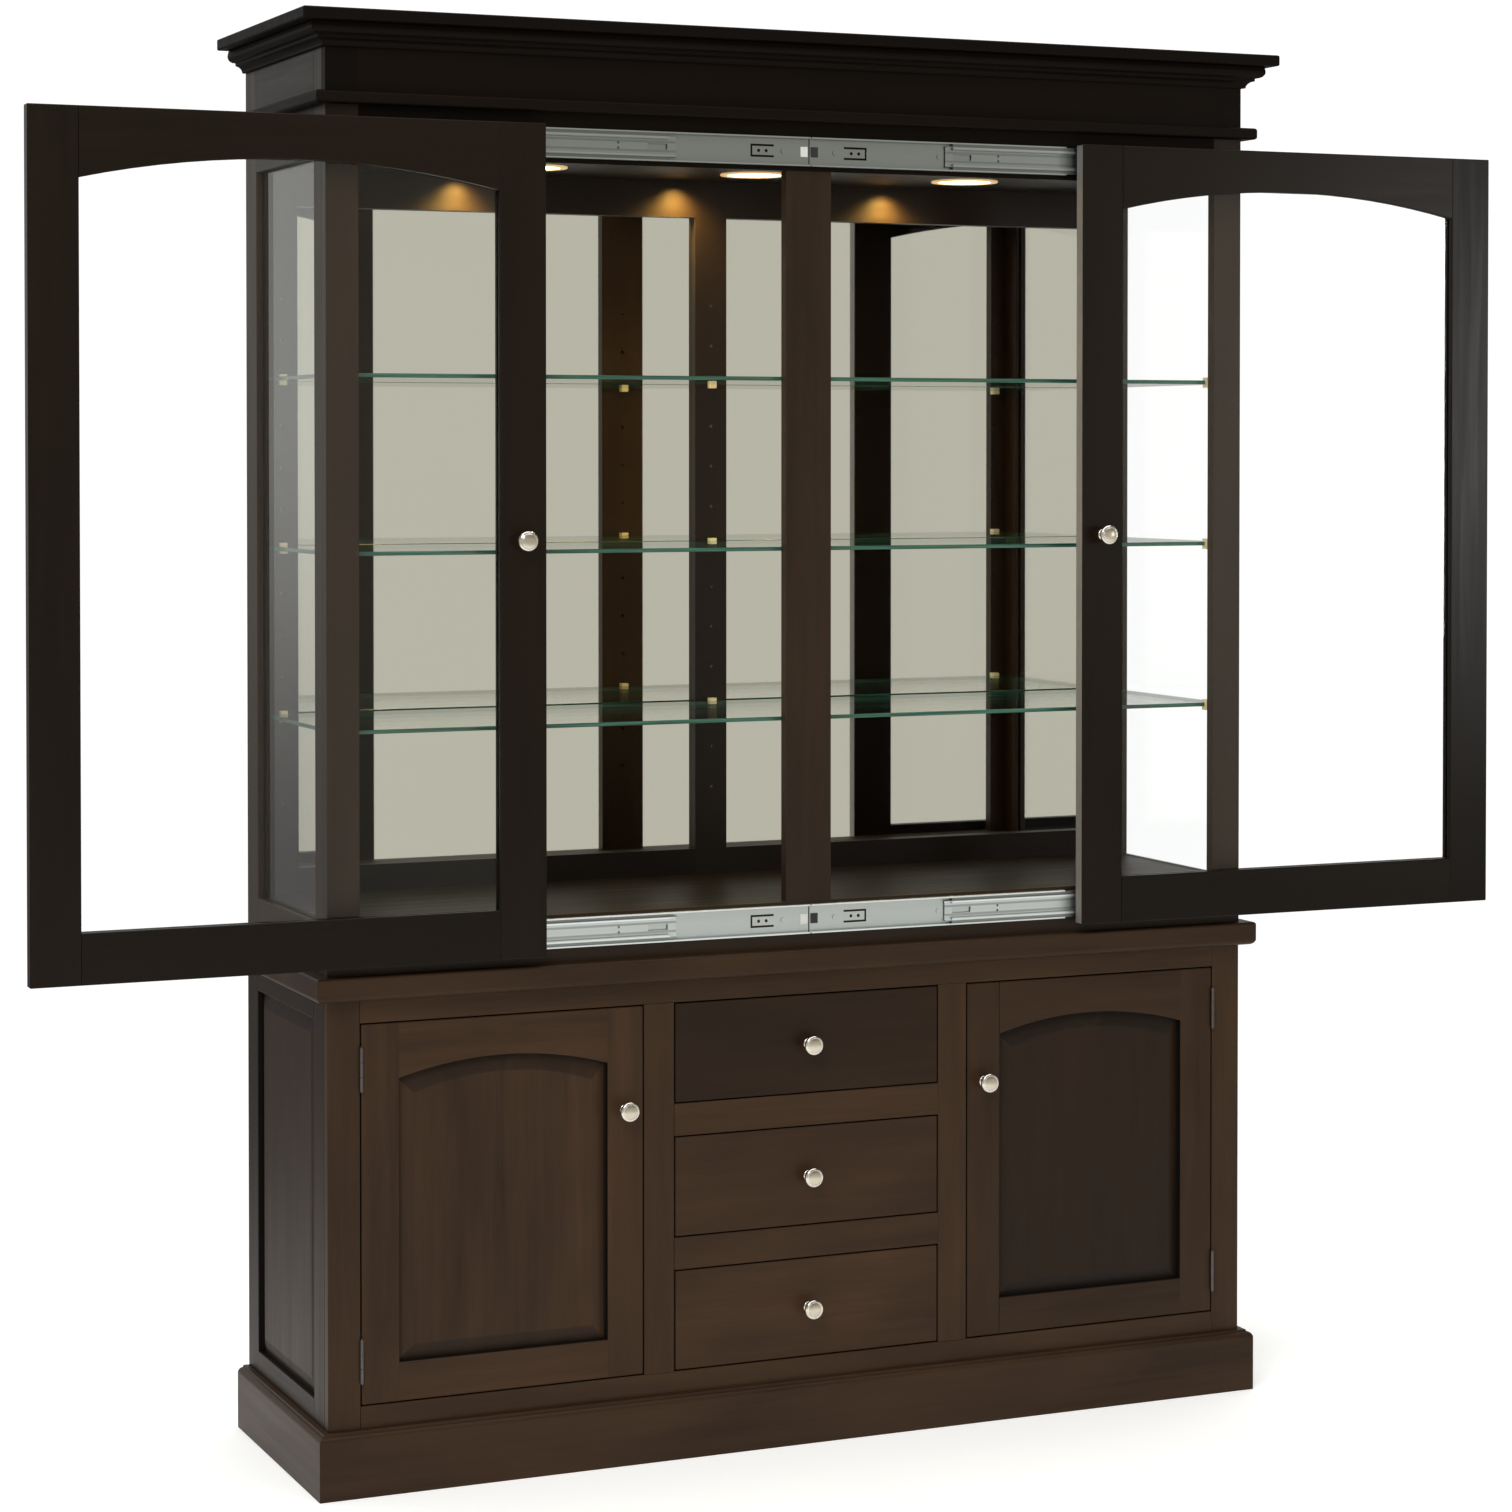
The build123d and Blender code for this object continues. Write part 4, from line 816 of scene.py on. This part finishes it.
def palette():
    """How each material is made: its builder, and what the builder is told."""
    scene = bpy.context.scene
    wood, glass, metal, lights = (scene.cabinet_wood, scene.cabinet_glass, scene.cabinet_metal,
                                  scene.cabinet_lights)
    dark, light = wood.stain_dark, wood.stain_light
    bare = (wood.box_dark, wood.box_light)
    return {
        "espresso_stain": (wood_finish, dark, light, wood.lacquer_roughness),
        "base_stain": (wood_finish, dark, light, wood.lacquer_roughness, wood.base_gloss),
        "door_stain": (wood_finish, dark, light, wood.door_roughness, wood.door_gloss),
        "crown_stain": (wood_finish, dark, light, 0.5, wood.crown_gloss),
        # Darker wood: pooled stain and painted shade in gaps and recesses.
        "pooled_stain": (wood_finish, toned(dark, 0.5), toned(light, wood.pooled_shade_share), 0.6),
        # Darker wood on the upward and downward bevels: end grain and painted shade.
        "end_grain_stain": (wood_finish, toned(dark, 0.8), toned(light, wood.end_grain_shade_share),
                            0.55),
        "pale_maple": (wood_finish, *bare, 0.42, WOOD_GLOSS, PALE_CONTRAST),
        "bare_wood": (wood_finish, *bare, 0.6, WOOD_GLOSS, PALE_CONTRAST),
        # Pale grey for the meeting edges of the glass doors: a painted sheen, standing in for the
        # reflection of the bright mirrors inside.
        "edge_seal": (plain_finish, (0.165, 0.16, 0.155), 0.5),
        "pane_glass": (clear_glass, glass.sheet_tint),
        "shelf_glass": (clear_glass, glass.shelf_tint),
        "cut_glass_edge": (cut_edge, glass.edge_light, glass.edge_dark),
        "silvered_glass": (silvering, glass.mirror_silver),
        "mirror_back_paint": (plain_finish, (0.22, 0.23, 0.23), 0.6),
        "nickel_plate": (metal_finish, metal.nickel, metal.nickel_roughness, 400.0, 0.04),
        # Painted reflection: darker, warmer metal for the middle of the knob faces.
        "knob_face": (metal_finish, metal.knob_face, 0.30, 400.0, 0.04),
        "bronze_plate": (metal_finish, metal.bronze, 0.33, 300.0, 0.05),
        "bright_zinc": (metal_finish, toned(metal.zinc, 0.75), metal.zinc_roughness, ROLLING_LINES,
                        0.07),
        # Near black: painted shade for the cut-outs and screw holes of the slides.
        "shaded_zinc": (metal_finish, toned(metal.zinc, 0.03), 0.5, 300.0, 0.05),
        "outer_member": (rolled_light_finish, metal, OUTER_LIGHT_BANDS),
        "inner_member": (rolled_light_finish, metal, INNER_LIGHT_BANDS),
        "bumper_rubber": (plain_finish, (0.012, 0.012, 0.012), 0.6),
        "stop_nylon": (plain_finish, (0.66, 0.67, 0.66), 0.35),
        "pin_nylon": (plain_finish, (0.72, 0.62, 0.38), 0.3, {"Subsurface_Weight": 0.2}),
        "catch_nylon": (plain_finish, (0.035, 0.022, 0.015), 0.45),
        # Painted light: the trim ring glows and takes the lamp's warm colour, though it is no lamp.
        "light_trim": (plain_finish, (0.62, 0.50, 0.34), 0.3,
                       {"Emission_Color": lights.glow, "Emission_Strength": lights.trim_glow}),
        "light_can": (plain_finish, (0.55, 0.55, 0.53), 0.5),
        "lit_lens": (lit_lens, lights),
    }


def material(name):
    """A material by its name, made when the first piece asks for it."""
    if name not in bpy.data.materials:
        build, *values = palette()[name]
        build(name, *values)
    return bpy.data.materials[name]


# Operators


class CABINET_OT_case_boards(bpy.types.Operator):
    """Dress the boards and mouldings of base and hutch"""
    bl_idname = "cabinet.case_boards"
    bl_label = "Case boards"

    def execute(self, context):
        wood = context.scene.cabinet_wood
        for nodes, names, paleness in (
                (BASE_BOARDS, BASE_WOODS, wood.base_paleness),
                (HUTCH_BOARDS, HUTCH_WOODS, wood.hutch_paleness),
                (INNER_BOARDS, HUTCH_WOODS, wood.inner_paleness),
                (CROWN_BOARDS, HUTCH_WOODS, wood.crown_paleness)):
            for node in nodes:
                wooden_piece(node, names, paleness)
        pale_pin_holes(bpy.data.objects["hutch_back_frame_boards"])
        # Painted shade, with pooled stain, on the walls of the openings in the face frame and the
        # side frames.
        pool_stain_and_shade(bpy.data.objects["base_face_frame_boards"], Y_AXIS, FRONT_MARGIN)
        pool_stain_and_shade(bpy.data.objects["base_side_frames_boards"], X_AXIS, SIDE_MARGIN)
        return {"FINISHED"}


class CABINET_OT_back_panels(bpy.types.Operator):
    """Dress the thin backs of base and hutch"""
    bl_idname = "cabinet.back_panels"
    bl_label = "Back panels"

    def execute(self, context):
        wooden_piece("back_panels", HUTCH_WOODS, context.scene.cabinet_wood.back_paleness)
        return {"FINISHED"}


class CABINET_OT_doors_and_drawers(bpy.types.Operator):
    """Dress the base doors, the drawer fronts and the frames of the glass doors"""
    bl_idname = "cabinet.doors_and_drawers"
    bl_label = "Doors and drawer fronts"

    def execute(self, context):
        wood = context.scene.cabinet_wood
        for node in BASE_DOOR_FRAMES + DRAWER_FRONTS:
            # Painted shade, with pooled stain, on the edges of the base doors and drawer fronts, in
            # the gaps round them.
            pool_stain_and_shade(wooden_piece(node, BASE_WOODS, wood.base_paleness), Y_AXIS, NO_MARGIN)
        for node in GLASS_DOOR_BOARDS:
            boards = wooden_piece(node, ("door_stain", "edge_seal"), wood.door_paleness)
            low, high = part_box(node)
            meeting = high.x if BODY_OF[node].startswith("left") else low.x
            # The meeting edges get the pale grey: a painted sheen.
            paint(boards, 1, lambda face: abs(face.normal.x) > BROAD_SIDE
                  and abs(face.center.x - meeting) < TOUCHING)
        return {"FINISHED"}


class CABINET_OT_raised_panels(bpy.types.Operator):
    """Dress the raised panels of the base doors and the base sides, with crisp bevels"""
    bl_idname = "cabinet.raised_panels"
    bl_label = "Raised panels"

    def execute(self, context):
        paleness = context.scene.cabinet_wood.base_paleness
        for node in BASE_DOOR_PANELS:
            panel = wooden_piece(node, BASE_WOODS, paleness, smooth=6)
            stain_and_shade_strip(panel, Y_AXIS)
            stain_and_shade_bevels(panel, Y_AXIS)
        stain_and_shade_bevels(wooden_piece("base_side_panels", BASE_WOODS, paleness, smooth=6), X_AXIS)
        return {"FINISHED"}


class CABINET_OT_drawer_boxes(bpy.types.Operator):
    """Dress the drawer boxes in pale lacquered wood"""
    bl_idname = "cabinet.drawer_boxes"
    bl_label = "Drawer boxes"

    def execute(self, context):
        for node in DRAWER_BOXES:
            wooden_piece(node, ("pale_maple",), 0.5)
        return {"FINISHED"}


def glass_piece(node, *names):
    """Panes with ground corners: broad faces in one finish, cut edges in the other."""
    piece = copy_of(node, f"{node}_sheet")
    thin_axis = piece.data.attributes.new("pane_axis", "FLOAT", "POINT")
    for members in islands(piece.data):
        low, high = span(piece.data, members)
        size = high - low
        for index in members:
            thin_axis.data[index].value = min(range(3), key=lambda axis: size[axis])
    soften_mesh(piece, 20)
    ease_edges(piece, bpy.context.scene.cabinet_glass.arris, 1, limit="ANGLE")
    finish_piece(piece, node, names)
    axes = piece.data.attributes["pane_axis"].data
    paint(piece, 1, lambda face: abs(
        face.normal[round(axes[face.vertices[0]].value)]) <= BROAD_SIDE)
    return piece


class CABINET_OT_glass(bpy.types.Operator):
    """Dress the panes and the shelves"""
    bl_idname = "cabinet.glass"
    bl_label = "Panes and shelves"

    def execute(self, context):
        for node in PANES:
            glass_piece(node, "pane_glass", "cut_glass_edge")
        glass_piece("glass_shelves", "shelf_glass", "cut_glass_edge")
        return {"FINISHED"}


class CABINET_OT_mirrors(bpy.types.Operator):
    """Dress the mirrors: silvered glass with a painted back"""
    bl_idname = "cabinet.mirrors"
    bl_label = "Mirrors"

    def execute(self, context):
        piece = glass_piece("hutch_mirrors", "silvered_glass", "mirror_back_paint")
        paint(piece, 1, lambda face: face.normal.y >= -BROAD_SIDE)
        return {"FINISHED"}


def metal_piece(node, width, *names):
    """A node's metal or plastic, with smooth rounds and slightly broken corners."""
    piece = copy_of(node, f"{node}_metal")
    soften_mesh(piece, 40)
    ease_edges(piece, width, 1, limit="ANGLE")
    finish_piece(piece, node, names)
    return piece


def put_in_order(mesh):
    """Rebuild a mesh with its faces sorted by their corners, because spin's order varies."""
    corners = [vertex.co[:] for vertex in mesh.vertices]
    faces = sorted(tuple(face.vertices) for face in mesh.polygons)
    mesh.clear_geometry()
    mesh.from_pydata(corners, [], faces)


def turned_knob():
    """One knob: collar, slim neck and a broad head with a rounded rim and a nearly flat face."""
    mesh = bpy.data.meshes.new("knob_profile")
    mesh.from_pydata([(radius, -reach, 0.0) for radius, reach in KNOB_PROFILE],
                     [(index, index + 1) for index in range(len(KNOB_PROFILE) - 1)], [])
    knob = bpy.data.objects.new("knob_profile", mesh)
    bpy.context.collection.objects.link(knob)
    only(knob)
    edit_all()
    bpy.ops.mesh.spin(steps=KNOB_STEPS, angle=math.tau, center=(0, 0, 0), axis=(0, 1, 0))
    bpy.ops.mesh.select_all(action="SELECT")
    bpy.ops.mesh.remove_doubles(threshold=1e-6)
    bpy.ops.mesh.normals_make_consistent(inside=False)
    bpy.ops.object.mode_set(mode="OBJECT")
    put_in_order(mesh)
    soften_mesh(knob, 50)
    return knob


class CABINET_OT_knobs(bpy.types.Operator):
    """Dress the knobs"""
    bl_idname = "cabinet.knobs"
    bl_label = "Knobs"

    def execute(self, context):
        first = turned_knob()
        for node in KNOBS:
            low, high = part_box(node)
            only(first)
            bpy.ops.object.duplicate()
            knob = bpy.context.active_object
            knob.name = f"{node}_turned"
            knob.data.name = knob.name
            foot = Vector(((low.x + high.x) / 2, high.y, (low.z + high.z) / 2))
            edit_all()
            bpy.ops.transform.translate(value=foot)
            bpy.ops.object.mode_set(mode="OBJECT")
            finish_piece(knob, node, ("nickel_plate", "knob_face"))
            # Painted reflection: the middle of the face gets the darker colour.
            paint(knob, 1, lambda face: face.center.y < low.y + KNOB_FACE_DEPTH
                  and (face.center - foot).xz.length < KNOB_FACE_RADIUS)
        bpy.data.objects.remove(first)
        return {"FINISHED"}


class CABINET_OT_hinges(bpy.types.Operator):
    """Dress the hinges of the base doors"""
    bl_idname = "cabinet.hinges"
    bl_label = "Hinges"

    def execute(self, context):
        for node in HINGES:
            metal_piece(node, 0.0001, "bronze_plate")
        return {"FINISHED"}


def slide_piece(node):
    """Members of the door slides, with painted highlight and shade bands by height, and painted
    shade on the inner faces of their cut-outs and screw holes.
    """
    upper_slides_light = bpy.context.scene.cabinet_metal.upper_slides_light
    outer = node == "door_slides_fixed"
    mesh = metal_piece(node, 0.0002, "outer_member" if outer else "inner_member", "shaded_zinc",
                       "bumper_rubber", "stop_nylon").data
    mesh.attributes.new("rise", "FLOAT", "POINT")
    mesh.attributes.new("plate_shine", "FLOAT", "POINT")
    rises = mesh.attributes["rise"].data
    shines = mesh.attributes["plate_shine"].data
    for members in islands(mesh):
        low, high = span(mesh, members)
        for index in members:
            rises[index].value = mesh.vertices[index].co.z - (low.z + high.z) / 2
            # Painted shade on the upper slides.
            shines[index].value = upper_slides_light if low.z > UPPER_SLIDES else 1.0
    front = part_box("hutch_face_frame")[0].y - STOP_FOOT
    for face in mesh.polygons:
        height = abs(sum(rises[index].value for index in face.vertices) / len(face.vertices))
        cut_wall = abs(face.normal.y) < CUT_WALL and face.area < SLIDE_CUT_AREA
        screw_hole = len(face.vertices) >= SCREW_HOLE_SIDES and face.area < SCREW_HOLE_AREA
        if height < SLIDE_INSIDE and (cut_wall or screw_hole):
            # Painted shade in the cut-outs and screw holes.
            face.material_index = 1
        on_stop = abs(face.center.x) < STOP_REACH and height < STOP_HALF_HEIGHT
        if outer and on_stop and face.center.y < front:
            face.material_index = STOP_SLOTS[0] if face.center.x > 0 else STOP_SLOTS[1]


class CABINET_OT_slides(bpy.types.Operator):
    """Dress the slides of the glass doors and the drawers, and the tie plates"""
    bl_idname = "cabinet.slides"
    bl_label = "Slides"

    def execute(self, context):
        for node in DRAWER_SLIDES + ("tie_plates",):
            metal_piece(node, 0.0002, "bright_zinc")
        for node in DOOR_SLIDES:
            slide_piece(node)
        return {"FINISHED"}


class CABINET_OT_small_fittings(bpy.types.Operator):
    """Dress the shelf pins and the door catches"""
    bl_idname = "cabinet.small_fittings"
    bl_label = "Pins and catches"

    def execute(self, context):
        metal_piece("shelf_pins", 0.0004, "pin_nylon")
        metal_piece("door_catches", 0.0006, "catch_nylon")
        return {"FINISHED"}


def add_lamp(kind, name, place, target, energy, **values):
    """A lamp that shines from a place at a target."""
    bpy.ops.object.light_add(type=kind, location=place)
    lamp = bpy.context.active_object
    lamp.name = name
    for key, value in values.items():
        setattr(lamp.data, key, value)
    lamp.data.energy = energy
    way = Vector(target) - lamp.location
    lamp.rotation_euler = way.to_track_quat("-Z", "Y").to_euler()


def hutch_lamp(name, place, energy, cone, tint):
    """A soft-edged lamp that shines straight down."""
    x, y, height = place
    add_lamp("SPOT", name, place, (x, y, 0.0), energy, color=tint, spot_size=cone, spot_blend=1.0,
             shadow_soft_size=LAMP_SIZE)


class CABINET_OT_lights(bpy.types.Operator):
    """Dress the three lights and set a lamp under each lens"""
    bl_idname = "cabinet.lights"
    bl_label = "Lights"

    def execute(self, context):
        lights = context.scene.cabinet_lights
        # The rings get painted light from the lamps beside them.
        metal_piece("light_rings", 0.0006, "light_trim")
        metal_piece("light_cans", 0.0004, "light_can")
        lens = metal_piece("light_lenses", 0.0004, "lit_lens")
        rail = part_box("hutch_back_frame")[0].y - lights.throw_gap
        for members in islands(lens.data):
            low, high = span(lens.data, members)
            middle = (low + high) / 2
            height = low.z - LENS_GAP
            hutch_lamp("hutch_lamp", (middle.x, middle.y, height), lights.lamp_power, LAMP_CONE,
                       lights.glow)
            hutch_lamp("rail_glow", (middle.x - lights.throw_aside, rail, height),
                       lights.throw_power, THROW_CONE, lights.throw_tint)
        return {"FINISHED"}


def soft_box(name, layout, energy, spread=math.pi):
    place, target, (width, height) = layout
    add_lamp("AREA", name, place, target, energy, shape="RECTANGLE", size=width, size_y=height,
             spread=spread)


def studio_floor(studio):
    """A pale floor that fades out far from the cabinet."""
    bpy.ops.mesh.primitive_circle_add(vertices=96, radius=studio.floor_radius, fill_type="NGON",
                                      location=(0, -studio.floor_ahead, 0))
    floor = bpy.context.active_object
    floor.name = "studio_floor"
    finish = Finish("floor_paint")
    mottle = finish.noise(3.0, detail=3.0)
    finish.set(Base_Color=finish.mix_colours(mottle, toned(studio.floor, 0.985), studio.floor),
               Roughness=0.7, Emission_Color=(1.0, 1.0, 0.99), Emission_Strength=studio.floor_glow)
    far = finish.node("ShaderNodeVectorMath", finish.object_place(), operation="LENGTH")
    near, end = (studio.floor_radius * part for part in FLOOR_FADE)
    fade = finish.stretch(far.outputs["Value"], near, end)
    finish.show_mix(fade, finish.shader, finish.node("ShaderNodeBsdfTransparent"))
    floor.data.materials.append(material("floor_paint"))


def studio_surroundings(studio):
    """Plain surroundings: lit in front, dimmer above that, pale behind, and a white backdrop."""
    world = bpy.data.worlds.new("studio")
    bpy.context.scene.world = world
    world.use_nodes = True
    wiring = Wiring(world.node_tree)
    way = wiring.node("ShaderNodeTexCoord").outputs["Generated"]
    split = wiring.node("ShaderNodeSeparateXYZ", way)

    def ramp(axis, start, end):
        return wiring.stretch(split.outputs[axis], start, end, how="SMOOTHSTEP")

    front = wiring.mix_colours(ramp("Z", 0.12, 0.55), studio.room, studio.upper_room)
    back = wiring.mix_colours(ramp("Z", -0.12, 0.02), studio.far_floor, studio.far_wall)
    around = wiring.mix_colours(ramp("Y", -0.1, 0.35), front, back)
    in_view = wiring.node("ShaderNodeLightPath").outputs["Is Camera Ray"]
    background = world.node_tree.nodes["Background"]
    wiring.fill(background.inputs["Color"], wiring.mix_colours(in_view, around, studio.backdrop))
    background.inputs["Strength"].default_value = studio.backdrop_strength


def studio_camera(studio):
    place = (studio.camera_x, studio.camera_y, studio.camera_z)
    turn = (math.radians(90) - studio.camera_dip, 0.0, -studio.camera_turn)
    bpy.ops.object.camera_add(location=place, rotation=turn)
    camera = bpy.context.active_object
    camera.name = "studio_camera"
    camera.data.lens = studio.lens
    camera.data.sensor_width = 36.0
    camera.data.shift_y = studio.shift
    camera.data.clip_end = 100.0
    bpy.context.scene.camera = camera


class CABINET_OT_studio(bpy.types.Operator):
    """Set up the floor, the soft light and the camera"""
    bl_idname = "cabinet.studio"
    bl_label = "Studio"

    def execute(self, context):
        studio = context.scene.cabinet_studio
        studio_camera(studio)
        studio_floor(studio)
        studio_surroundings(studio)
        soft_box("key_box", KEY_BOX, studio.key_power)
        soft_box("top_box", TOP_BOX, studio.top_power)
        soft_box("side_box", SIDE_BOX, studio.side_power, spread=studio.side_spread)
        context.scene.view_settings.view_transform = "Standard"
        return {"FINISHED"}


OPERATORS = (
    CABINET_OT_studio, CABINET_OT_case_boards, CABINET_OT_back_panels, CABINET_OT_doors_and_drawers,
    CABINET_OT_raised_panels, CABINET_OT_drawer_boxes, CABINET_OT_glass, CABINET_OT_mirrors,
    CABINET_OT_knobs, CABINET_OT_hinges, CABINET_OT_slides, CABINET_OT_small_fittings,
    CABINET_OT_lights,
)
SETTINGS = (
    ("cabinet_wood", WoodSettings), ("cabinet_glass", GlassSettings),
    ("cabinet_metal", MetalSettings), ("cabinet_lights", LightSettings),
    ("cabinet_studio", StudioSettings),
)


class CABINET_PT_panel(bpy.types.Panel):
    """Settings and steps of the china cabinet"""
    bl_idname = "CABINET_PT_panel"
    bl_label = "China cabinet"
    bl_space_type = "VIEW_3D"
    bl_region_type = "UI"
    bl_category = "Cabinet"

    def draw(self, context):
        for name, group in SETTINGS:
            box = self.layout.box()
            box.label(text=group.__doc__)
            for key in group.__annotations__:
                box.prop(getattr(context.scene, name), key)
        for operator in OPERATORS:
            self.layout.operator(operator.bl_idname)


def register():
    for name, group in SETTINGS:
        bpy.utils.register_class(group)
        setattr(bpy.types.Scene, name, PointerProperty(type=group))
    for operator in OPERATORS:
        bpy.utils.register_class(operator)
    bpy.utils.register_class(CABINET_PT_panel)


def unregister():
    bpy.utils.unregister_class(CABINET_PT_panel)
    for operator in reversed(OPERATORS):
        bpy.utils.unregister_class(operator)
    for name, group in reversed(SETTINGS):
        delattr(bpy.types.Scene, name)
        bpy.utils.unregister_class(group)


def main():
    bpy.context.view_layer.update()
    register()
    bpy.ops.cabinet.studio()
    bpy.ops.cabinet.case_boards()
    bpy.ops.cabinet.back_panels()
    bpy.ops.cabinet.doors_and_drawers()
    bpy.ops.cabinet.raised_panels()
    bpy.ops.cabinet.drawer_boxes()
    bpy.ops.cabinet.glass()
    bpy.ops.cabinet.mirrors()
    bpy.ops.cabinet.knobs()
    bpy.ops.cabinet.hinges()
    bpy.ops.cabinet.slides()
    bpy.ops.cabinet.small_fittings()
    bpy.ops.cabinet.lights()


if __name__ == "__main__":
    main()
